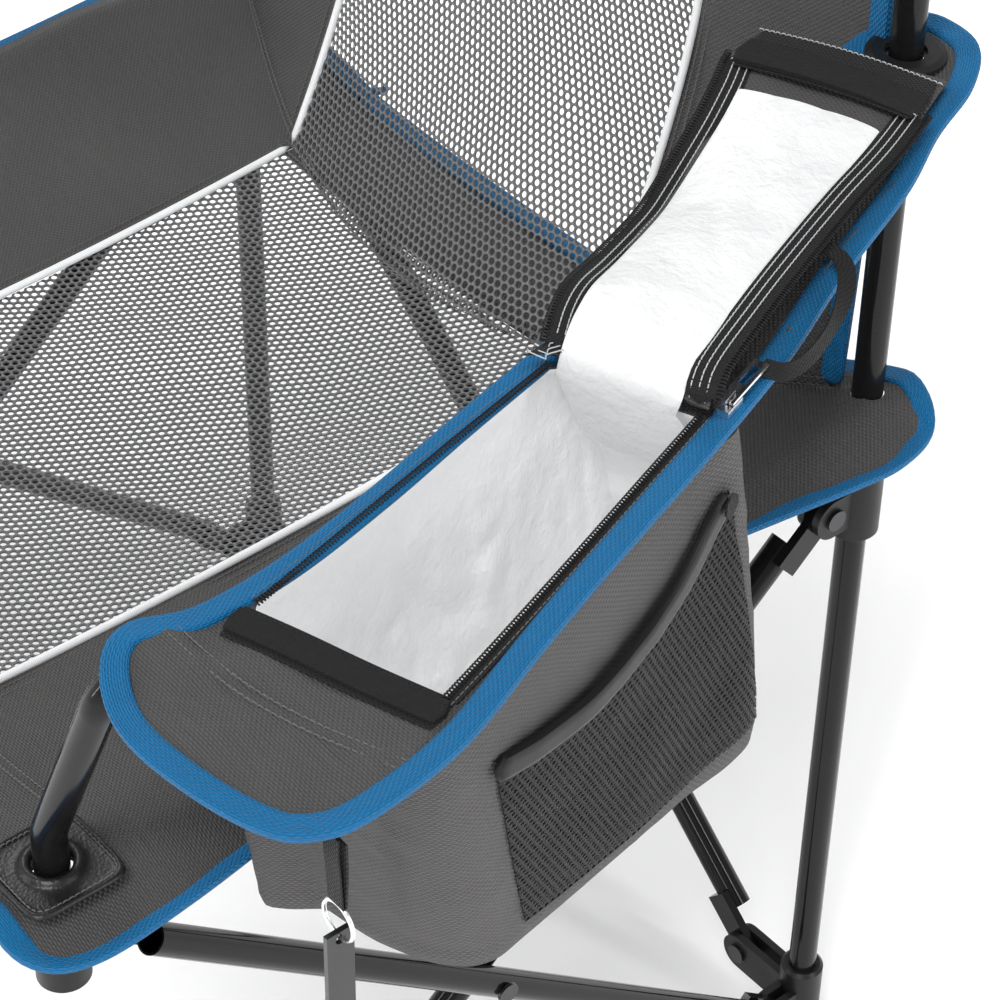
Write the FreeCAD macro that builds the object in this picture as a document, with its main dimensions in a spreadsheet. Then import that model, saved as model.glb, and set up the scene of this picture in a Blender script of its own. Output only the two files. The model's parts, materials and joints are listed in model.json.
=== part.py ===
"""Folding camp chair with an insulated cooler in one arm.

Millimetres, +Z up, the sitter faces -Y. The origin is on the floor under the middle of the four feet.
The frame is eight crossed tubes of one length. Every tube leans at the same angle, so the four
crosses open and close together, and the sliders climb the rear posts as the chair folds.
"""
import FreeCAD
import Part
import math
import os

V = FreeCAD.Vector
doc = FreeCAD.newDocument("CampChair")

# ---------------------------------------------------------------- driving dimensions
SIZES = {
    "post_half_width": 265.0,
    "rear_y": 242.0,
    "front_y": -242.0,
    "foot_pin_z": 35.0,
    "pivot_rise": 385.0,
    "side_ear_reach": 22.0,
    "inner_ear_reach": 45.0,
    "tube_radius": 8.0,
    "tube_wall": 1.2,
    "tube_offset": 8.5,
    "tab_width": 16.0,
    "tab_thickness": 5.0,
    "tab_length": 36.0,
    "tube_setback": 24.0,
    "post_bottom_z": 12.0,
    "post_top_z": 985.0,
    "cap_length": 16.0,
    "pin_radius": 3.0,
    "pin_head_radius": 6.0,
    "pin_hole_radius": 3.08,
    "open_hole_radius": 3.4,
    "cheek_thickness": 4.5,
    "cheek_gap": 6.0,
    "cheek_height": 24.0,
    "hub_radius": 12.4,
    "hub_bore_radius": 8.15,
    "foot_radius": 22.0,
    "foot_top_z": 62.0,
    "slider_bore_radius": 8.6,
    "slider_radius": 13.5,
    "slider_half_height": 22.0,
    "corner_below_pin": 20.0,
    "corner_above_pin": 30.0,
    "seat_corner_z": 470.0,
    "seat_rise": 20.0,
    "seat_sag": 46.0,
    "fabric_thickness": 2.4,
    "arm_rear_z": 680.0,
    "arm_slope": 0.14,
    "washer_radius": 19.0,
    "washer_thickness": 2.5,
    "cooler_floor_z": 420.0,
    "cooler_wall": 3.0,
    "cup_radius": 43.0,
    "cup_depth": 125.0,
    "ring_radius": 9.0,
    "ring_wire": 1.0,
    "opener_length": 62.0,
    "opener_width": 13.0,
    "opener_thickness": 2.4,
}
sheet = doc.addObject("Spreadsheet::Sheet", "Sheet")
for row, (alias, value) in enumerate(SIZES.items(), start=1):
    sheet.set("A%d" % row, alias)
    sheet.set("B%d" % row, str(value))
    sheet.setAlias("B%d" % row, alias)
doc.recompute()


def size(alias):
    """The sheet's value for one alias, in millimetres."""
    return float(sheet.get(alias))


HALF = size("post_half_width")
REAR = size("rear_y")
FRONT = size("front_y")
LOW = size("foot_pin_z")
HIGH = LOW + size("pivot_rise")
SIDE_REACH = size("side_ear_reach")
INNER_REACH = size("inner_ear_reach")
SPAN = 2.0 * (HALF - INNER_REACH)
PIN_TO_PIN = math.hypot(SPAN, size("pivot_rise"))
LEAN = math.degrees(math.atan2(SPAN, size("pivot_rise")))
OFFSET = size("tube_offset")


# ---------------------------------------------------------------- helpers
def bind(obj, **links):
    """Binds properties of one object to expressions."""
    for prop, expression in links.items():
        obj.setExpression(prop, expression)
    return obj


def add(kind, name, **links):
    return bind(doc.addObject(kind, name), **links)


def cylinder(name, radius, height, placement):
    """A Part cylinder whose radius and height are expressions."""
    obj = add("Part::Cylinder", name, Radius=radius, Height=height)
    obj.Placement = placement
    return obj


def box(name, length, width, height, placement):
    obj = add("Part::Box", name, Length=length, Width=width, Height=height)
    obj.Placement = placement
    return obj


def fuse(name, parts, placement=None):
    obj = doc.addObject("Part::MultiFuse", name)
    obj.Shapes = parts
    if placement is not None:
        obj.Placement = placement
    return obj


def cut(name, base, tool):
    obj = doc.addObject("Part::Cut", name)
    obj.Base = base
    obj.Tool = tool
    return obj


def solid(label, shape):
    """A soft or bent piece whose shape comes straight from Part functions."""
    obj = doc.addObject("Part::Feature", label)
    obj.Label = label
    obj.Shape = shape
    return obj


def at(x, y, z, rotation=None):
    return FreeCAD.Placement(V(x, y, z), rotation or FreeCAD.Rotation())


def turn(axis, degrees):
    return FreeCAD.Rotation(axis, degrees)


X, Y, Z = V(1, 0, 0), V(0, 1, 0), V(0, 0, 1)
ALONG_X = turn(Y, 90)
ALONG_Y = turn(X, -90)


def body_plane(body, role):
    """One origin plane of a PartDesign body."""
    for feature in body.Origin.OriginFeatures:
        if feature.Role == role:
            return feature
    raise ValueError("no origin plane " + role)


def closed_sketch(body, name, role, corners, expressions=()):
    """A closed polygon sketch; expressions maps (corner, 'x' or 'y') to a sheet expression."""
    import Sketcher
    sketch = body.newObject("Sketcher::SketchObject", name)
    sketch.AttachmentSupport = (body_plane(body, role), [""])
    sketch.MapMode = "FlatFace"
    count = len(corners)
    for index, (u, v) in enumerate(corners):
        u2, v2 = corners[(index + 1) % count]
        sketch.addGeometry(Part.LineSegment(V(u, v, 0), V(u2, v2, 0)), False)
    for index in range(count):
        after = (index + 1) % count
        sketch.addConstraint(Sketcher.Constraint("Coincident", index, 2, after, 1))
    for (corner, axis), expression in dict(expressions).items():
        kind = "DistanceX" if axis == "x" else "DistanceY"
        start = corners[corner][0] if axis == "x" else corners[corner][1]
        number = sketch.addConstraint(Sketcher.Constraint(kind, -1, 1, corner, 1, start))
        sketch.setExpression("Constraints[%d]" % number, expression)
    return sketch


def turned(label, profile, placement, expressions=()):
    """A PartDesign body: one profile in (radius, height) turned a full turn about its own Z."""
    body = doc.addObject("PartDesign::Body", label)
    body.Label = label
    sketch = closed_sketch(body, label + "_profile", "XZ_Plane", profile, expressions)
    revolution = body.newObject("PartDesign::Revolution", label + "_turn")
    revolution.Profile = sketch
    revolution.ReferenceAxis = (sketch, ["V_Axis"])
    revolution.Angle = 360.0
    body.Placement = placement
    return body


def padded_outline(label, corners, height, placement):
    """A PartDesign body: a polygon padded by a sheet expression."""
    body = doc.addObject("PartDesign::Body", label)
    body.Label = label
    sketch = closed_sketch(body, label + "_outline", "XY_Plane", corners)
    pad = body.newObject("PartDesign::Pad", label + "_pad")
    pad.Profile = sketch
    pad.setExpression("Length", height)
    body.Placement = placement
    return body


# ---------------------------------------------------------------- crossed tubes
def cross_tube(label, low_pin, lean_axis, degrees, side, holes):
    """One tube of a cross. It is drawn upright from its lower pin, then leant over.

    side is +1 or -1: which side of the pins' plane the tube runs on. holes gives the radius
    alias at the lower end, the middle and the upper end.
    """
    upright = {"x": turn(Z, 0), "y": turn(Z, 90)}[lean_axis]
    run = "%.6f - 2 * Sheet.tube_setback" % PIN_TO_PIN
    place = at(side * OFFSET, 0, size("tube_setback"))
    outer = cylinder(label + "_outer", "Sheet.tube_radius", run, place)
    inner = cylinder(label + "_inner", "Sheet.tube_radius - Sheet.tube_wall", run, place)
    hollow = cut(label + "_hollow", outer, inner)
    thick, width = size("tab_thickness"), size("tab_width")
    parts = [hollow]
    for end, start in (("low", 0.0), ("high", PIN_TO_PIN - size("tab_length"))):
        tab = box(label + "_tab_" + end, "Sheet.tab_thickness", "Sheet.tab_width",
                  "Sheet.tab_length", at(-thick / 2, -width / 2, start))
        height = 0.0 if end == "low" else PIN_TO_PIN
        nose = cylinder(label + "_nose_" + end, "Sheet.tab_width / 2", "Sheet.tab_thickness",
                        at(-thick / 2, 0, height, ALONG_X))
        parts += [tab, nose]
    body = fuse(label + "_blank", parts)
    drills = []
    for index, (alias, height) in enumerate(zip(holes, (0.0, PIN_TO_PIN / 2, PIN_TO_PIN))):
        drills.append(cylinder(label + "_drill_%d" % index, "Sheet." + alias, "60 mm",
                               at(-30, 0, height, ALONG_X)))
    tube = cut(label, body, fuse(label + "_drills", drills))
    tube.Label = label
    lean = turn(X if lean_axis == "x" else Y, degrees)
    tube.Placement = FreeCAD.Placement(low_pin, lean.multiply(upright))
    return tube


FIXED = "pin_hole_radius"
LOOSE = "open_hole_radius"
for name, sign in (("left", 1), ("right", -1)):
    cross_tube(name + "_tube_rising", V(sign * HALF, REAR - SIDE_REACH, LOW), "x", LEAN, sign,
               (FIXED, FIXED, FIXED))
    cross_tube(name + "_tube_falling", V(sign * HALF, FRONT + SIDE_REACH, LOW), "x", -LEAN, -sign,
               (FIXED, FIXED, LOOSE))
inner_x = HALF - INNER_REACH
cross_tube("rear_tube_first", V(inner_x, REAR, LOW), "y", -LEAN, 1, (FIXED, FIXED, FIXED))
cross_tube("rear_tube_second", V(-inner_x, REAR, LOW), "y", LEAN, -1, (FIXED, FIXED, FIXED))
cross_tube("front_tube_first", V(inner_x, FRONT, LOW), "y", -LEAN, -1, (FIXED, FIXED, LOOSE))
cross_tube("front_tube_second", V(-inner_x, FRONT, LOW), "y", LEAN, 1, (LOOSE, FIXED, LOOSE))


# ---------------------------------------------------------------- posts and caps
for name, sign in (("left", 1), ("right", -1)):
    bottom = at(sign * HALF, REAR, size("post_bottom_z"))
    rise = "Sheet.post_top_z - Sheet.post_bottom_z"
    outer = cylinder(name + "_post_outer", "Sheet.tube_radius", rise, bottom)
    inner = cylinder(name + "_post_inner", "Sheet.tube_radius - Sheet.tube_wall", rise, bottom)
    post = cut("rear_post_" + name, outer, inner)
    post.Label = "rear_post_" + name
    r = size("tube_radius")
    bore = r - size("tube_wall") - 0.1
    turned("post_cap_" + name, [(0, -size("cap_length")), (bore, -size("cap_length")), (bore, 0),
                                (r, 0), (r, 2.5), (r * 0.6, 4.5), (0, 5.0)],
           at(sign * HALF, REAR, size("post_top_z")),
           {(3, "x"): "Sheet.tube_radius"})


def ear(label, direction, reach_alias, at_z):
    """Two cheeks that reach out from a hub to a pin and leave a slot for a tube's tab."""
    along = {"x+": 0, "y+": 90, "x-": 180, "y-": 270}[direction]
    reach = size(reach_alias)
    gap, thick = size("cheek_gap"), size("cheek_thickness")
    tall = size("cheek_height")
    parts = []
    for side in (1, -1):
        start = gap / 2 if side > 0 else -gap / 2 - thick
        plate = box("%s_%s_plate_%d" % (label, direction[0], side), "Sheet." + reach_alias + " - 5",
                    "Sheet.cheek_thickness", "Sheet.cheek_height", at(5, start, at_z - tall / 2))
        nose = cylinder("%s_%s_nose_%d" % (label, direction[0], side), "Sheet.cheek_height / 2",
                        "Sheet.cheek_thickness", at(reach, start, at_z, ALONG_Y))
        parts += [plate, nose]
    both = fuse("%s_ear_%s" % (label, direction[0]), parts)
    hole = cylinder("%s_ear_hole_%s" % (label, direction[0]), "Sheet.pin_hole_radius", "60 mm",
                    at(reach, -30, at_z, ALONG_Y))
    drilled = cut("%s_ear_drilled_%s" % (label, direction[0]), both, hole)
    drilled.Placement = at(0, 0, 0, turn(Z, along))
    return drilled


def hub(label, x, y, profile, pin_z, side_direction, bore=None):
    """A moulded hub: a turned core with one ear for the side cross and one for the inner cross."""
    core = turned(label + "_core", profile, at(0, 0, 0))
    inward = "x-" if x > 0 else "x+"
    parts = [core, ear(label, side_direction, "side_ear_reach", pin_z),
             ear(label, inward, "inner_ear_reach", pin_z)]
    whole = fuse(label + "_blank", parts)
    if bore:
        radius, low, height = bore
        whole = cut(label + "_bored", whole,
                    cylinder(label + "_bore", "Sheet." + radius, height, at(0, 0, low)))
    result = doc.addObject("Part::Refine", label)
    result.Source = whole
    result.Label = label
    result.Placement = at(x, y, 0)
    return result


foot_r, hub_r = size("foot_radius"), size("hub_radius")
rear_foot = [(0, 0), (foot_r - 3, 0), (foot_r, 3), (foot_r, 8), (hub_r + 1, 22), (hub_r, 30),
             (hub_r, size("foot_top_z") - 2), (hub_r - 2, size("foot_top_z")), (0, size("foot_top_z"))]
front_foot = rear_foot[:5] + [(hub_r, 30), (hub_r, 46), (hub_r - 5, 52), (0, 54)]
low, high = HIGH - size("corner_below_pin"), HIGH + size("corner_above_pin")
corner = [(0, low), (hub_r - 3, low), (hub_r, low + 3), (hub_r, high - 2), (hub_r - 2, high), (0, high)]
sr, sh = size("slider_radius"), size("slider_half_height")
slide = [(0, HIGH - sh), (sr - 2, HIGH - sh), (sr, HIGH - sh + 2), (sr, HIGH + sh - 2),
         (sr - 2, HIGH + sh), (0, HIGH + sh)]
for name, sign in (("left", 1), ("right", -1)):
    hub("rear_foot_" + name, sign * HALF, REAR, rear_foot, LOW, "y-",
        ("hub_bore_radius", size("post_bottom_z"), "100 mm"))
    hub("front_foot_" + name, sign * HALF, FRONT, front_foot, LOW, "y+")
    hub("slider_" + name, sign * HALF, REAR, slide, HIGH, "y-",
        ("slider_bore_radius", HIGH - 40, "80 mm"))
    hub("corner_hub_" + name, sign * HALF, FRONT, corner, HIGH, "y+",
        ("hub_bore_radius", HIGH - 6, "60 mm"))


# ---------------------------------------------------------------- pins and rivets
def pin(name, x, y, z, rotation, reach):
    """A pin with a domed head at both ends, centred on a point."""
    shaft = cylinder(name + "_shaft", "Sheet.pin_radius", "%.3f mm" % (2 * reach),
                     at(0, 0, -reach))
    heads = []
    for end in (1, -1):
        start = reach if end > 0 else -reach - 2.0
        heads.append(cylinder("%s_head_%d" % (name, end), "Sheet.pin_head_radius", "2 mm",
                              at(0, 0, start)))
    whole = fuse(name, [shaft] + heads)
    whole.Placement = at(x, y, z, rotation)
    return whole


cheeks = size("cheek_gap") / 2 + size("cheek_thickness")
for name, sign in (("left", 1), ("right", -1)):
    for place, y, z, step in (("rear_foot", REAR, LOW, -1), ("slider", REAR, HIGH, -1),
                              ("front_foot", FRONT, LOW, 1), ("corner_hub", FRONT, HIGH, 1)):
        label = "%s_pins_%s" % (place, name)
        first = pin(label + "_a", sign * HALF, y + step * SIDE_REACH, z, ALONG_X, cheeks)
        second = pin(label + "_b", sign * inner_x, y, z, ALONG_Y, cheeks)
        both = doc.addObject("Part::Compound", label)
        both.Links = [first, second]
        both.Label = label
middle = (LOW + HIGH) / 2
rivet_reach = OFFSET + size("tube_radius") + 0.4
mid_y = (REAR + FRONT) / 2
for label, x, y, rotation in (("centre_rivet_left", HALF, mid_y, ALONG_X),
                              ("centre_rivet_right", -HALF, mid_y, ALONG_X),
                              ("centre_rivet_rear", 0, REAR, ALONG_Y),
                              ("centre_rivet_front", 0, FRONT, ALONG_Y)):
    pin(label, x, y, middle, rotation, rivet_reach)


# ---------------------------------------------------------------- arm posts
def swept(path_points, radius, bend):
    """A solid round bar along a polyline whose corners are rounded to one bend radius."""
    edges = []
    last = path_points[0]
    for index in range(1, len(path_points) - 1):
        corner_point = path_points[index]
        back = (path_points[index - 1] - corner_point).normalize()
        on = (path_points[index + 1] - corner_point).normalize()
        half = back.getAngle(on) / 2
        step = bend / math.tan(half)
        start, end = corner_point + back * step, corner_point + on * step
        centre = corner_point + (back + on).normalize() * (bend / math.sin(half))
        mid = centre + (corner_point - centre).normalize() * bend
        edges.append(Part.makeLine(last, start))
        edges.append(Part.Arc(start, mid, end).toShape())
        last = end
    edges.append(Part.makeLine(last, path_points[-1]))
    path = Part.Wire(edges)
    direction = path_points[1] - path_points[0]
    ring = Part.Wire(Part.makeCircle(radius, path_points[0], direction))
    return path.makePipeShell([ring], True, False)


def mirrored(shape):
    return shape.mirror(V(0, 0, 0), X)


arm_post = swept([V(HALF, FRONT, HIGH - 6), V(HALF, FRONT, 492), V(304, FRONT + 12, 598),
                  V(308, FRONT + 52, 606)], size("tube_radius"), 24.0)
solid("arm_post_left", arm_post)
solid("arm_post_right", mirrored(arm_post))


# ---------------------------------------------------------------- fabric seat and back
def skin(rows, thickness, direction):
    """A closed solid under a grid of points, dropped along one direction by its thickness."""
    drop = direction * thickness
    top = rows
    under = [[p + drop for p in row] for row in rows]
    faces = []

    def patch(a, b, c, d):
        faces.append(Part.Face(Part.makePolygon([a, b, c, a])))
        faces.append(Part.Face(Part.makePolygon([a, c, d, a])))

    m, n = len(rows), len(rows[0])
    for i in range(m - 1):
        for j in range(n - 1):
            for grid in (top, under):
                patch(grid[i][j], grid[i][j + 1], grid[i + 1][j + 1], grid[i + 1][j])
    for i in range(m - 1):
        for j in (0, n - 1):
            patch(top[i][j], top[i + 1][j], under[i + 1][j], under[i][j])
    for j in range(n - 1):
        for i in (0, m - 1):
            patch(top[i][j], top[i][j + 1], under[i][j + 1], under[i][j])
    shell = Part.Shell(faces)
    shell.sewShape()
    result = Part.Solid(Part.Shell(shell.Faces))
    if result.Volume < 0:
        result.reverse()
    return result


def column(x, y, radius, z_low=0.0, z_high=1200.0):
    """A clearance cylinder round an upright tube."""
    return Part.makeCylinder(radius, z_high - z_low, V(x, y, z_low))


def seat_z(x, y):
    """The sling hangs lowest in its middle and rises to its four corners."""
    across = max(0.0, 1.0 - (abs(x) / 275.0) ** 2.6)
    along = max(0.0, 1.0 - (y / 300.0) ** 2)
    corner_z = size("seat_corner_z") + size("seat_rise") * (y - FRONT) / (REAR - FRONT)
    return corner_z - size("seat_sag") * across * (0.55 + 0.45 * along)


def seat_strip(xs, y_front, y_back):
    ys = [y_front + (y_back - y_front) * k / 4.0 for k in range(5)]
    return skin([[V(x, y, seat_z(x, y)) for x in xs] for y in ys], size("fabric_thickness"), -Z)


PIPE_X = 126.0
solid("seat_mesh", seat_strip([-PIPE_X, -70, 0, 70, PIPE_X], FRONT - 20, REAR - 12))
side = seat_strip([PIPE_X + 0.6, 205, 262, 286], FRONT - 34, REAR + 18)
side = side.cut(column(HALF, FRONT, 11.0)).cut(column(HALF, REAR, 11.0))
solid("seat_side_left", side)
solid("seat_side_right", mirrored(side))
BACK_TOP = 990.0


def back_y(x, z):
    """The back sling hangs behind the posts at its middle and comes forward to meet the seat."""
    across = max(0.0, 1.0 - (abs(x) / 262.0) ** 2)
    rise = max(0.0, (z - 436.0) / (BACK_TOP - 436.0))
    bow = -95.0 * (1.0 - min(1.0, rise / 0.42)) ** 1.6 + 8.0 * min(1.0, rise / 0.42)
    return REAR + bow * across


def back_strip(xs, bottom):
    rows = []
    for k in range(8):
        share = k / 7.0
        rows.append([V(x, back_y(x, b + (BACK_TOP - b) * share), b + (BACK_TOP - b) * share)
                     for x, b in zip(xs, bottom)])
    return skin(rows, size("fabric_thickness"), Y)


solid("back_mesh", back_strip([-PIPE_X, -70, 0, 70, PIPE_X], [482, 468, 460, 468, 482]))
panel = back_strip([PIPE_X + 0.6, 195, 250], [482.5, 496, 508])
sleeve = column(HALF, REAR, 12.2, 800.0, BACK_TOP + 6)
hollow = column(HALF, REAR, 10.2, 790.0, BACK_TOP + 3)
web = Part.makeBox(9, 9, BACK_TOP - 800, V(247, REAR - 3, 800))
arm_notch = Part.makeBox(40, 60, 26, V(226, REAR - 30, 667))
panel = panel.fuse([sleeve, web]).cut(hollow).cut(arm_notch)
solid("back_side_left", panel)
solid("back_side_right", mirrored(panel))


# ---------------------------------------------------------------- reinforced seat corners
def rounded_plate(cx, cy, half, radius, z, thickness):
    plate = Part.makeBox(2 * half, 2 * half, thickness, V(cx - half, cy - half, z))
    uprights = [e for e in plate.Edges if abs(e.Vertexes[0].Z - e.Vertexes[1].Z) > thickness / 2]
    return plate.makeFillet(radius, uprights)


patch_z = size("seat_corner_z") + 1.4
patch = rounded_plate(HALF, FRONT, 25, 7, patch_z, 2.2)
eyelet = Part.makeTorus(14.0, 2.6, V(HALF, FRONT, patch_z + 2.4))
patch = patch.fuse(eyelet).cut(column(HALF, FRONT, 11.0))
solid("corner_patch_left", patch)
solid("corner_patch_right", mirrored(patch))


# ---------------------------------------------------------------- arm panels
def arm_z(y):
    """Height of the arm's top face: it falls towards the front."""
    return size("arm_rear_z") + size("arm_slope") * (y - REAR)


def arm_prism(outline, above, below):
    """The space over an outline, between two heights measured from the arm's top face."""
    lower = [V(x, y, arm_z(y) + below) for x, y in outline]
    face = Part.Face(Part.makePolygon(lower + [lower[0]]))
    return face.extrude(V(0, 0, above - below))


ARM_OUTLINE = [(298, -214), (304, -230), (325, -243), (350, -248), (385, -245), (414, -238),
               (430, -228), (439, -207), (437, -160), (421, -107), (409, -66), (387, 15),
               (370, 70), (350, 120), (330, 178), (312, 215), (300, 248), (283, 270),
               (262, 276), (244, 270), (236, 250), (240, 222), (252, 200), (268, 150),
               (278, 90), (290, 20), (300, -50), (308, -100), (313, -150), (310, -190)]
MOUTH = [(326, -172), (418, -148), (373, 22), (302, -1)]
arm = arm_prism(ARM_OUTLINE, 0.0, -3.0)
plain_arm = arm.cut(column(HALF, REAR, 11.0))
arm = plain_arm.cut(arm_prism(MOUTH, 10.0, -20.0))
solid("arm_panel_left", arm)
CUP_X, CUP_Y = 366.0, -165.0
cup_r = size("cup_radius")
right_arm = plain_arm.cut(column(CUP_X, CUP_Y, cup_r + 3.5))
solid("arm_panel_right", mirrored(right_arm))
for name, sign in (("left", 1), ("right", -1)):
    r1, t1 = size("washer_radius"), size("washer_thickness")
    turned("arm_washer_" + name, [(10.0, 0), (r1, 0), (r1, t1 * 0.5), (r1 - 3, t1), (10.0, t1)],
           at(sign * HALF, REAR, size("arm_rear_z") + 3.6), {(1, "x"): "Sheet.washer_radius"})

# ---------------------------------------------------------------- cup holder on the right arm
depth = size("cup_depth")
cup_top = arm_z(CUP_Y)
turned("cup_holder", [(0, 0), (cup_r - 6, 0), (cup_r, 4), (cup_r, depth), (cup_r - 1.6, depth),
                      (cup_r - 1.6, 5), (cup_r - 7, 1.6), (0, 1.6)],
       at(-CUP_X, CUP_Y, cup_top - depth - 12))
turned("cup_rim", [(cup_r + 0.3, 0), (cup_r + 3.0, 0), (cup_r + 3.0, 12), (cup_r + 0.3, 12)],
       at(-CUP_X, CUP_Y, cup_top - 16))


# ---------------------------------------------------------------- cooler
def loft(sections):
    """A straight-sided solid through closed outlines given as lists of points."""
    return Part.makeLoft([Part.makePolygon(list(s) + [s[0]]) for s in sections], True, True)


def inset(outline, distance):
    """Moves every edge of an anticlockwise polygon in by one distance."""
    moved = []
    for k, (x, y) in enumerate(outline):
        normals = []
        for a, b in ((outline[k - 1], (x, y)), ((x, y), outline[(k + 1) % len(outline)])):
            run = math.hypot(b[0] - a[0], b[1] - a[1])
            normals.append((-(b[1] - a[1]) / run, (b[0] - a[0]) / run))
        (nx, ny), (mx, my) = normals
        reach = distance / (1 + nx * mx + ny * my)
        moved.append((x + (nx + mx) * reach, y + (ny + my) * reach))
    return moved


COOLER_TOP = [(316, -179), (350, -184), (392, -179), (418, -168), (426, -150), (418, -107),
              (388, -4), (377, 34), (303, 18), (292, 10)]
COOLER_FLOOR = [(296, -145), (325, -140), (352, -134), (378, -121), (391, -104), (389, -77),
                (374, 22), (360, 82), (300, 84), (290, 78)]
FLOOR_Z = size("cooler_floor_z")
wall = size("cooler_wall")
BAG_DROP = 3.6


def cooler_core(distance, floor, lift):
    """The filled form of the bag, drawn in by a distance, from a floor height up to the arm.

    Its edges run in line with those of the whole bag, so that walls keep their thickness.
    """
    base, top = [], []
    corners = zip(inset(COOLER_FLOOR, distance), inset(COOLER_TOP, distance))
    for (x_low, y_low), (x_high, y_high) in corners:
        rise = arm_z(y_high) - BAG_DROP - FLOOR_Z
        low = (floor - FLOOR_Z) / rise
        high = (arm_z(y_low) + lift - FLOOR_Z) / (rise - size("arm_slope") * (y_high - y_low))
        for share, into in ((low, base), (high, top)):
            y = y_low + (y_high - y_low) * share
            z = floor if into is base else arm_z(y) + lift
            into.append(V(x_low + (x_high - x_low) * share, y, z))
    return loft([base, top])


shell = cooler_core(0.0, FLOOR_Z, -BAG_DROP).cut(cooler_core(wall, FLOOR_Z + wall, 12.0))
solid("cooler_shell", shell)
lining = cooler_core(wall + 0.6, FLOOR_Z + wall + 0.6, -BAG_DROP)
lining = lining.cut(cooler_core(wall + 2.2, FLOOR_Z + wall + 2.2, 12.0))
solid("cooler_lining", lining)

# mesh pocket on the outer wall, a shallow blister that stands off the bag
pocket_rows = [[V(402.0, -88, 436), V(398.0, -30, 436), V(388.0, 20, 438), V(376.0, 62, 442)],
               [V(413.0, -94, 500), V(408.0, -36, 500), V(398.0, 14, 502), V(386.0, 48, 504)],
               [V(427.0, -106, 572), V(420.0, -56, 578), V(409.0, -10, 590), V(398.0, 22, 604)]]
solid("cooler_pocket", skin(pocket_rows, 1.6, X))

# lid, thrown open towards the rear: a stiff padded flap hinged along the mouth's rear edge
lid_rows = [[V(304, 12, 662.0), V(370.5, 33.5, 663.0)],
            [V(259, 104, 677.0), V(333, 128, 678.0)],
            [V(214, 196, 688.0), V(295, 222, 687.0)]]
solid("cooler_lid", skin(lid_rows, 5.0, -Z))
strip_rows = [[V(325, -192, arm_z(-192) + 1.9), V(417, -166, arm_z(-166) + 1.9)],
              [V(328, -174.5, arm_z(-174.5) + 1.9), V(420, -151, arm_z(-151) + 1.9)]]
solid("closure_strip", skin(strip_rows, 1.5, -Z))

# zipper slider and its pull at the outer rear corner of the mouth, in line with the outer zipper
ZIP = at(377.5, 30.0, arm_z(30.0) + 1.6, turn(Z, 14.8).multiply(turn(X, 7.7)))
block = Part.makeBox(7, 11, 5.5, V(-3.5, -5.5, 0))
bridge = Part.makeBox(2, 8, 4.0, V(-1, -4, 5.5))
eye = Part.makeBox(4, 4.4, 2.8, V(-2, -2.2, 5.5))
slider = solid("zipper_slider", block.fuse(bridge).cut(eye).removeSplitter())
slider.Placement = ZIP
pull = Part.makeBox(7, 27, 1.4, V(-3.5, -1.6, 6.2))
window = Part.makeBox(3.6, 5.0, 4, V(-1.8, -0.1, 5.2))
slot = Part.makeBox(3.6, 12, 4, V(-1.8, 10, 5.2))
tab = solid("zipper_pull", pull.cut(window).cut(slot))
tab.Placement = ZIP

# ---------------------------------------------------------------- strap, ring and bottle opener
STRAP_X, STRAP_Y = 431.0, -214.0
strap_top = 609.0
strap_low = 571.0
solid("strap", Part.makeBox(9.0, 1.6, strap_top - strap_low, V(STRAP_X - 4.5, STRAP_Y - 0.8, strap_low)))
ring_r, wire = size("ring_radius"), size("ring_wire")
ring_z = strap_low - ring_r - wire - 0.4
ring = add("Part::Torus", "split_ring", Radius1="Sheet.ring_radius", Radius2="Sheet.ring_wire")
ring.Label = "split_ring"
ring.Placement = at(STRAP_X, STRAP_Y, ring_z, ALONG_Y)
eye_z = ring_z - ring_r - 1.0
wide, long = size("opener_width") / 2, size("opener_length")
opener_outline = [(-wide, 4.2), (wide, 4.2), (wide, 14 - long), (wide - 4, -long), (1 - wide, -long),
                  (-wide, 8 - long), (5 - wide, 6 - long), (wide - 5, 12 - long),
                  (wide - 5, 18 - long), (-wide, 22 - long)]
opener = padded_outline("opener_blank", opener_outline, "Sheet.opener_thickness", at(0, 0, 0))
eye_hole = cylinder("opener_eye", "2.4 mm", "20 mm", at(0, 0, -10))
bottle_opener = cut("bottle_opener", opener, eye_hole)
bottle_opener.Label = "bottle_opener"
bottle_opener.Placement = at(STRAP_X - size("opener_thickness") / 2, STRAP_Y, eye_z,
                             turn(Z, 90).multiply(turn(X, 90)))

doc.recompute()

# ---------------------------------------------------------------- check and export
NODES = ["rear_post_left", "rear_post_right", "post_cap_left", "post_cap_right",
         "rear_foot_left", "rear_foot_right", "front_foot_left", "front_foot_right",
         "slider_left", "slider_right", "corner_hub_left", "corner_hub_right",
         "left_tube_rising", "left_tube_falling", "right_tube_rising", "right_tube_falling",
         "rear_tube_first", "rear_tube_second", "front_tube_first", "front_tube_second",
         "rear_foot_pins_left", "rear_foot_pins_right", "slider_pins_left", "slider_pins_right",
         "front_foot_pins_left", "front_foot_pins_right", "corner_hub_pins_left",
         "corner_hub_pins_right", "centre_rivet_left", "centre_rivet_right",
         "centre_rivet_rear", "centre_rivet_front", "arm_post_left", "arm_post_right",
         "seat_mesh", "seat_side_left", "seat_side_right", "back_mesh", "back_side_left",
         "back_side_right", "corner_patch_left", "corner_patch_right", "arm_panel_left",
         "arm_panel_right", "arm_washer_left", "arm_washer_right", "cup_holder", "cup_rim",
         "cooler_shell", "cooler_lining", "cooler_pocket", "cooler_lid", "closure_strip",
         "zipper_slider", "zipper_pull", "strap", "split_ring", "bottle_opener"]
for obj in doc.Objects:
    if "Invalid" in obj.State or "Error" in obj.State:
        raise RuntimeError("object %s has state %s" % (obj.Label, obj.State))
os.makedirs("parts", exist_ok=True)
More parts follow.
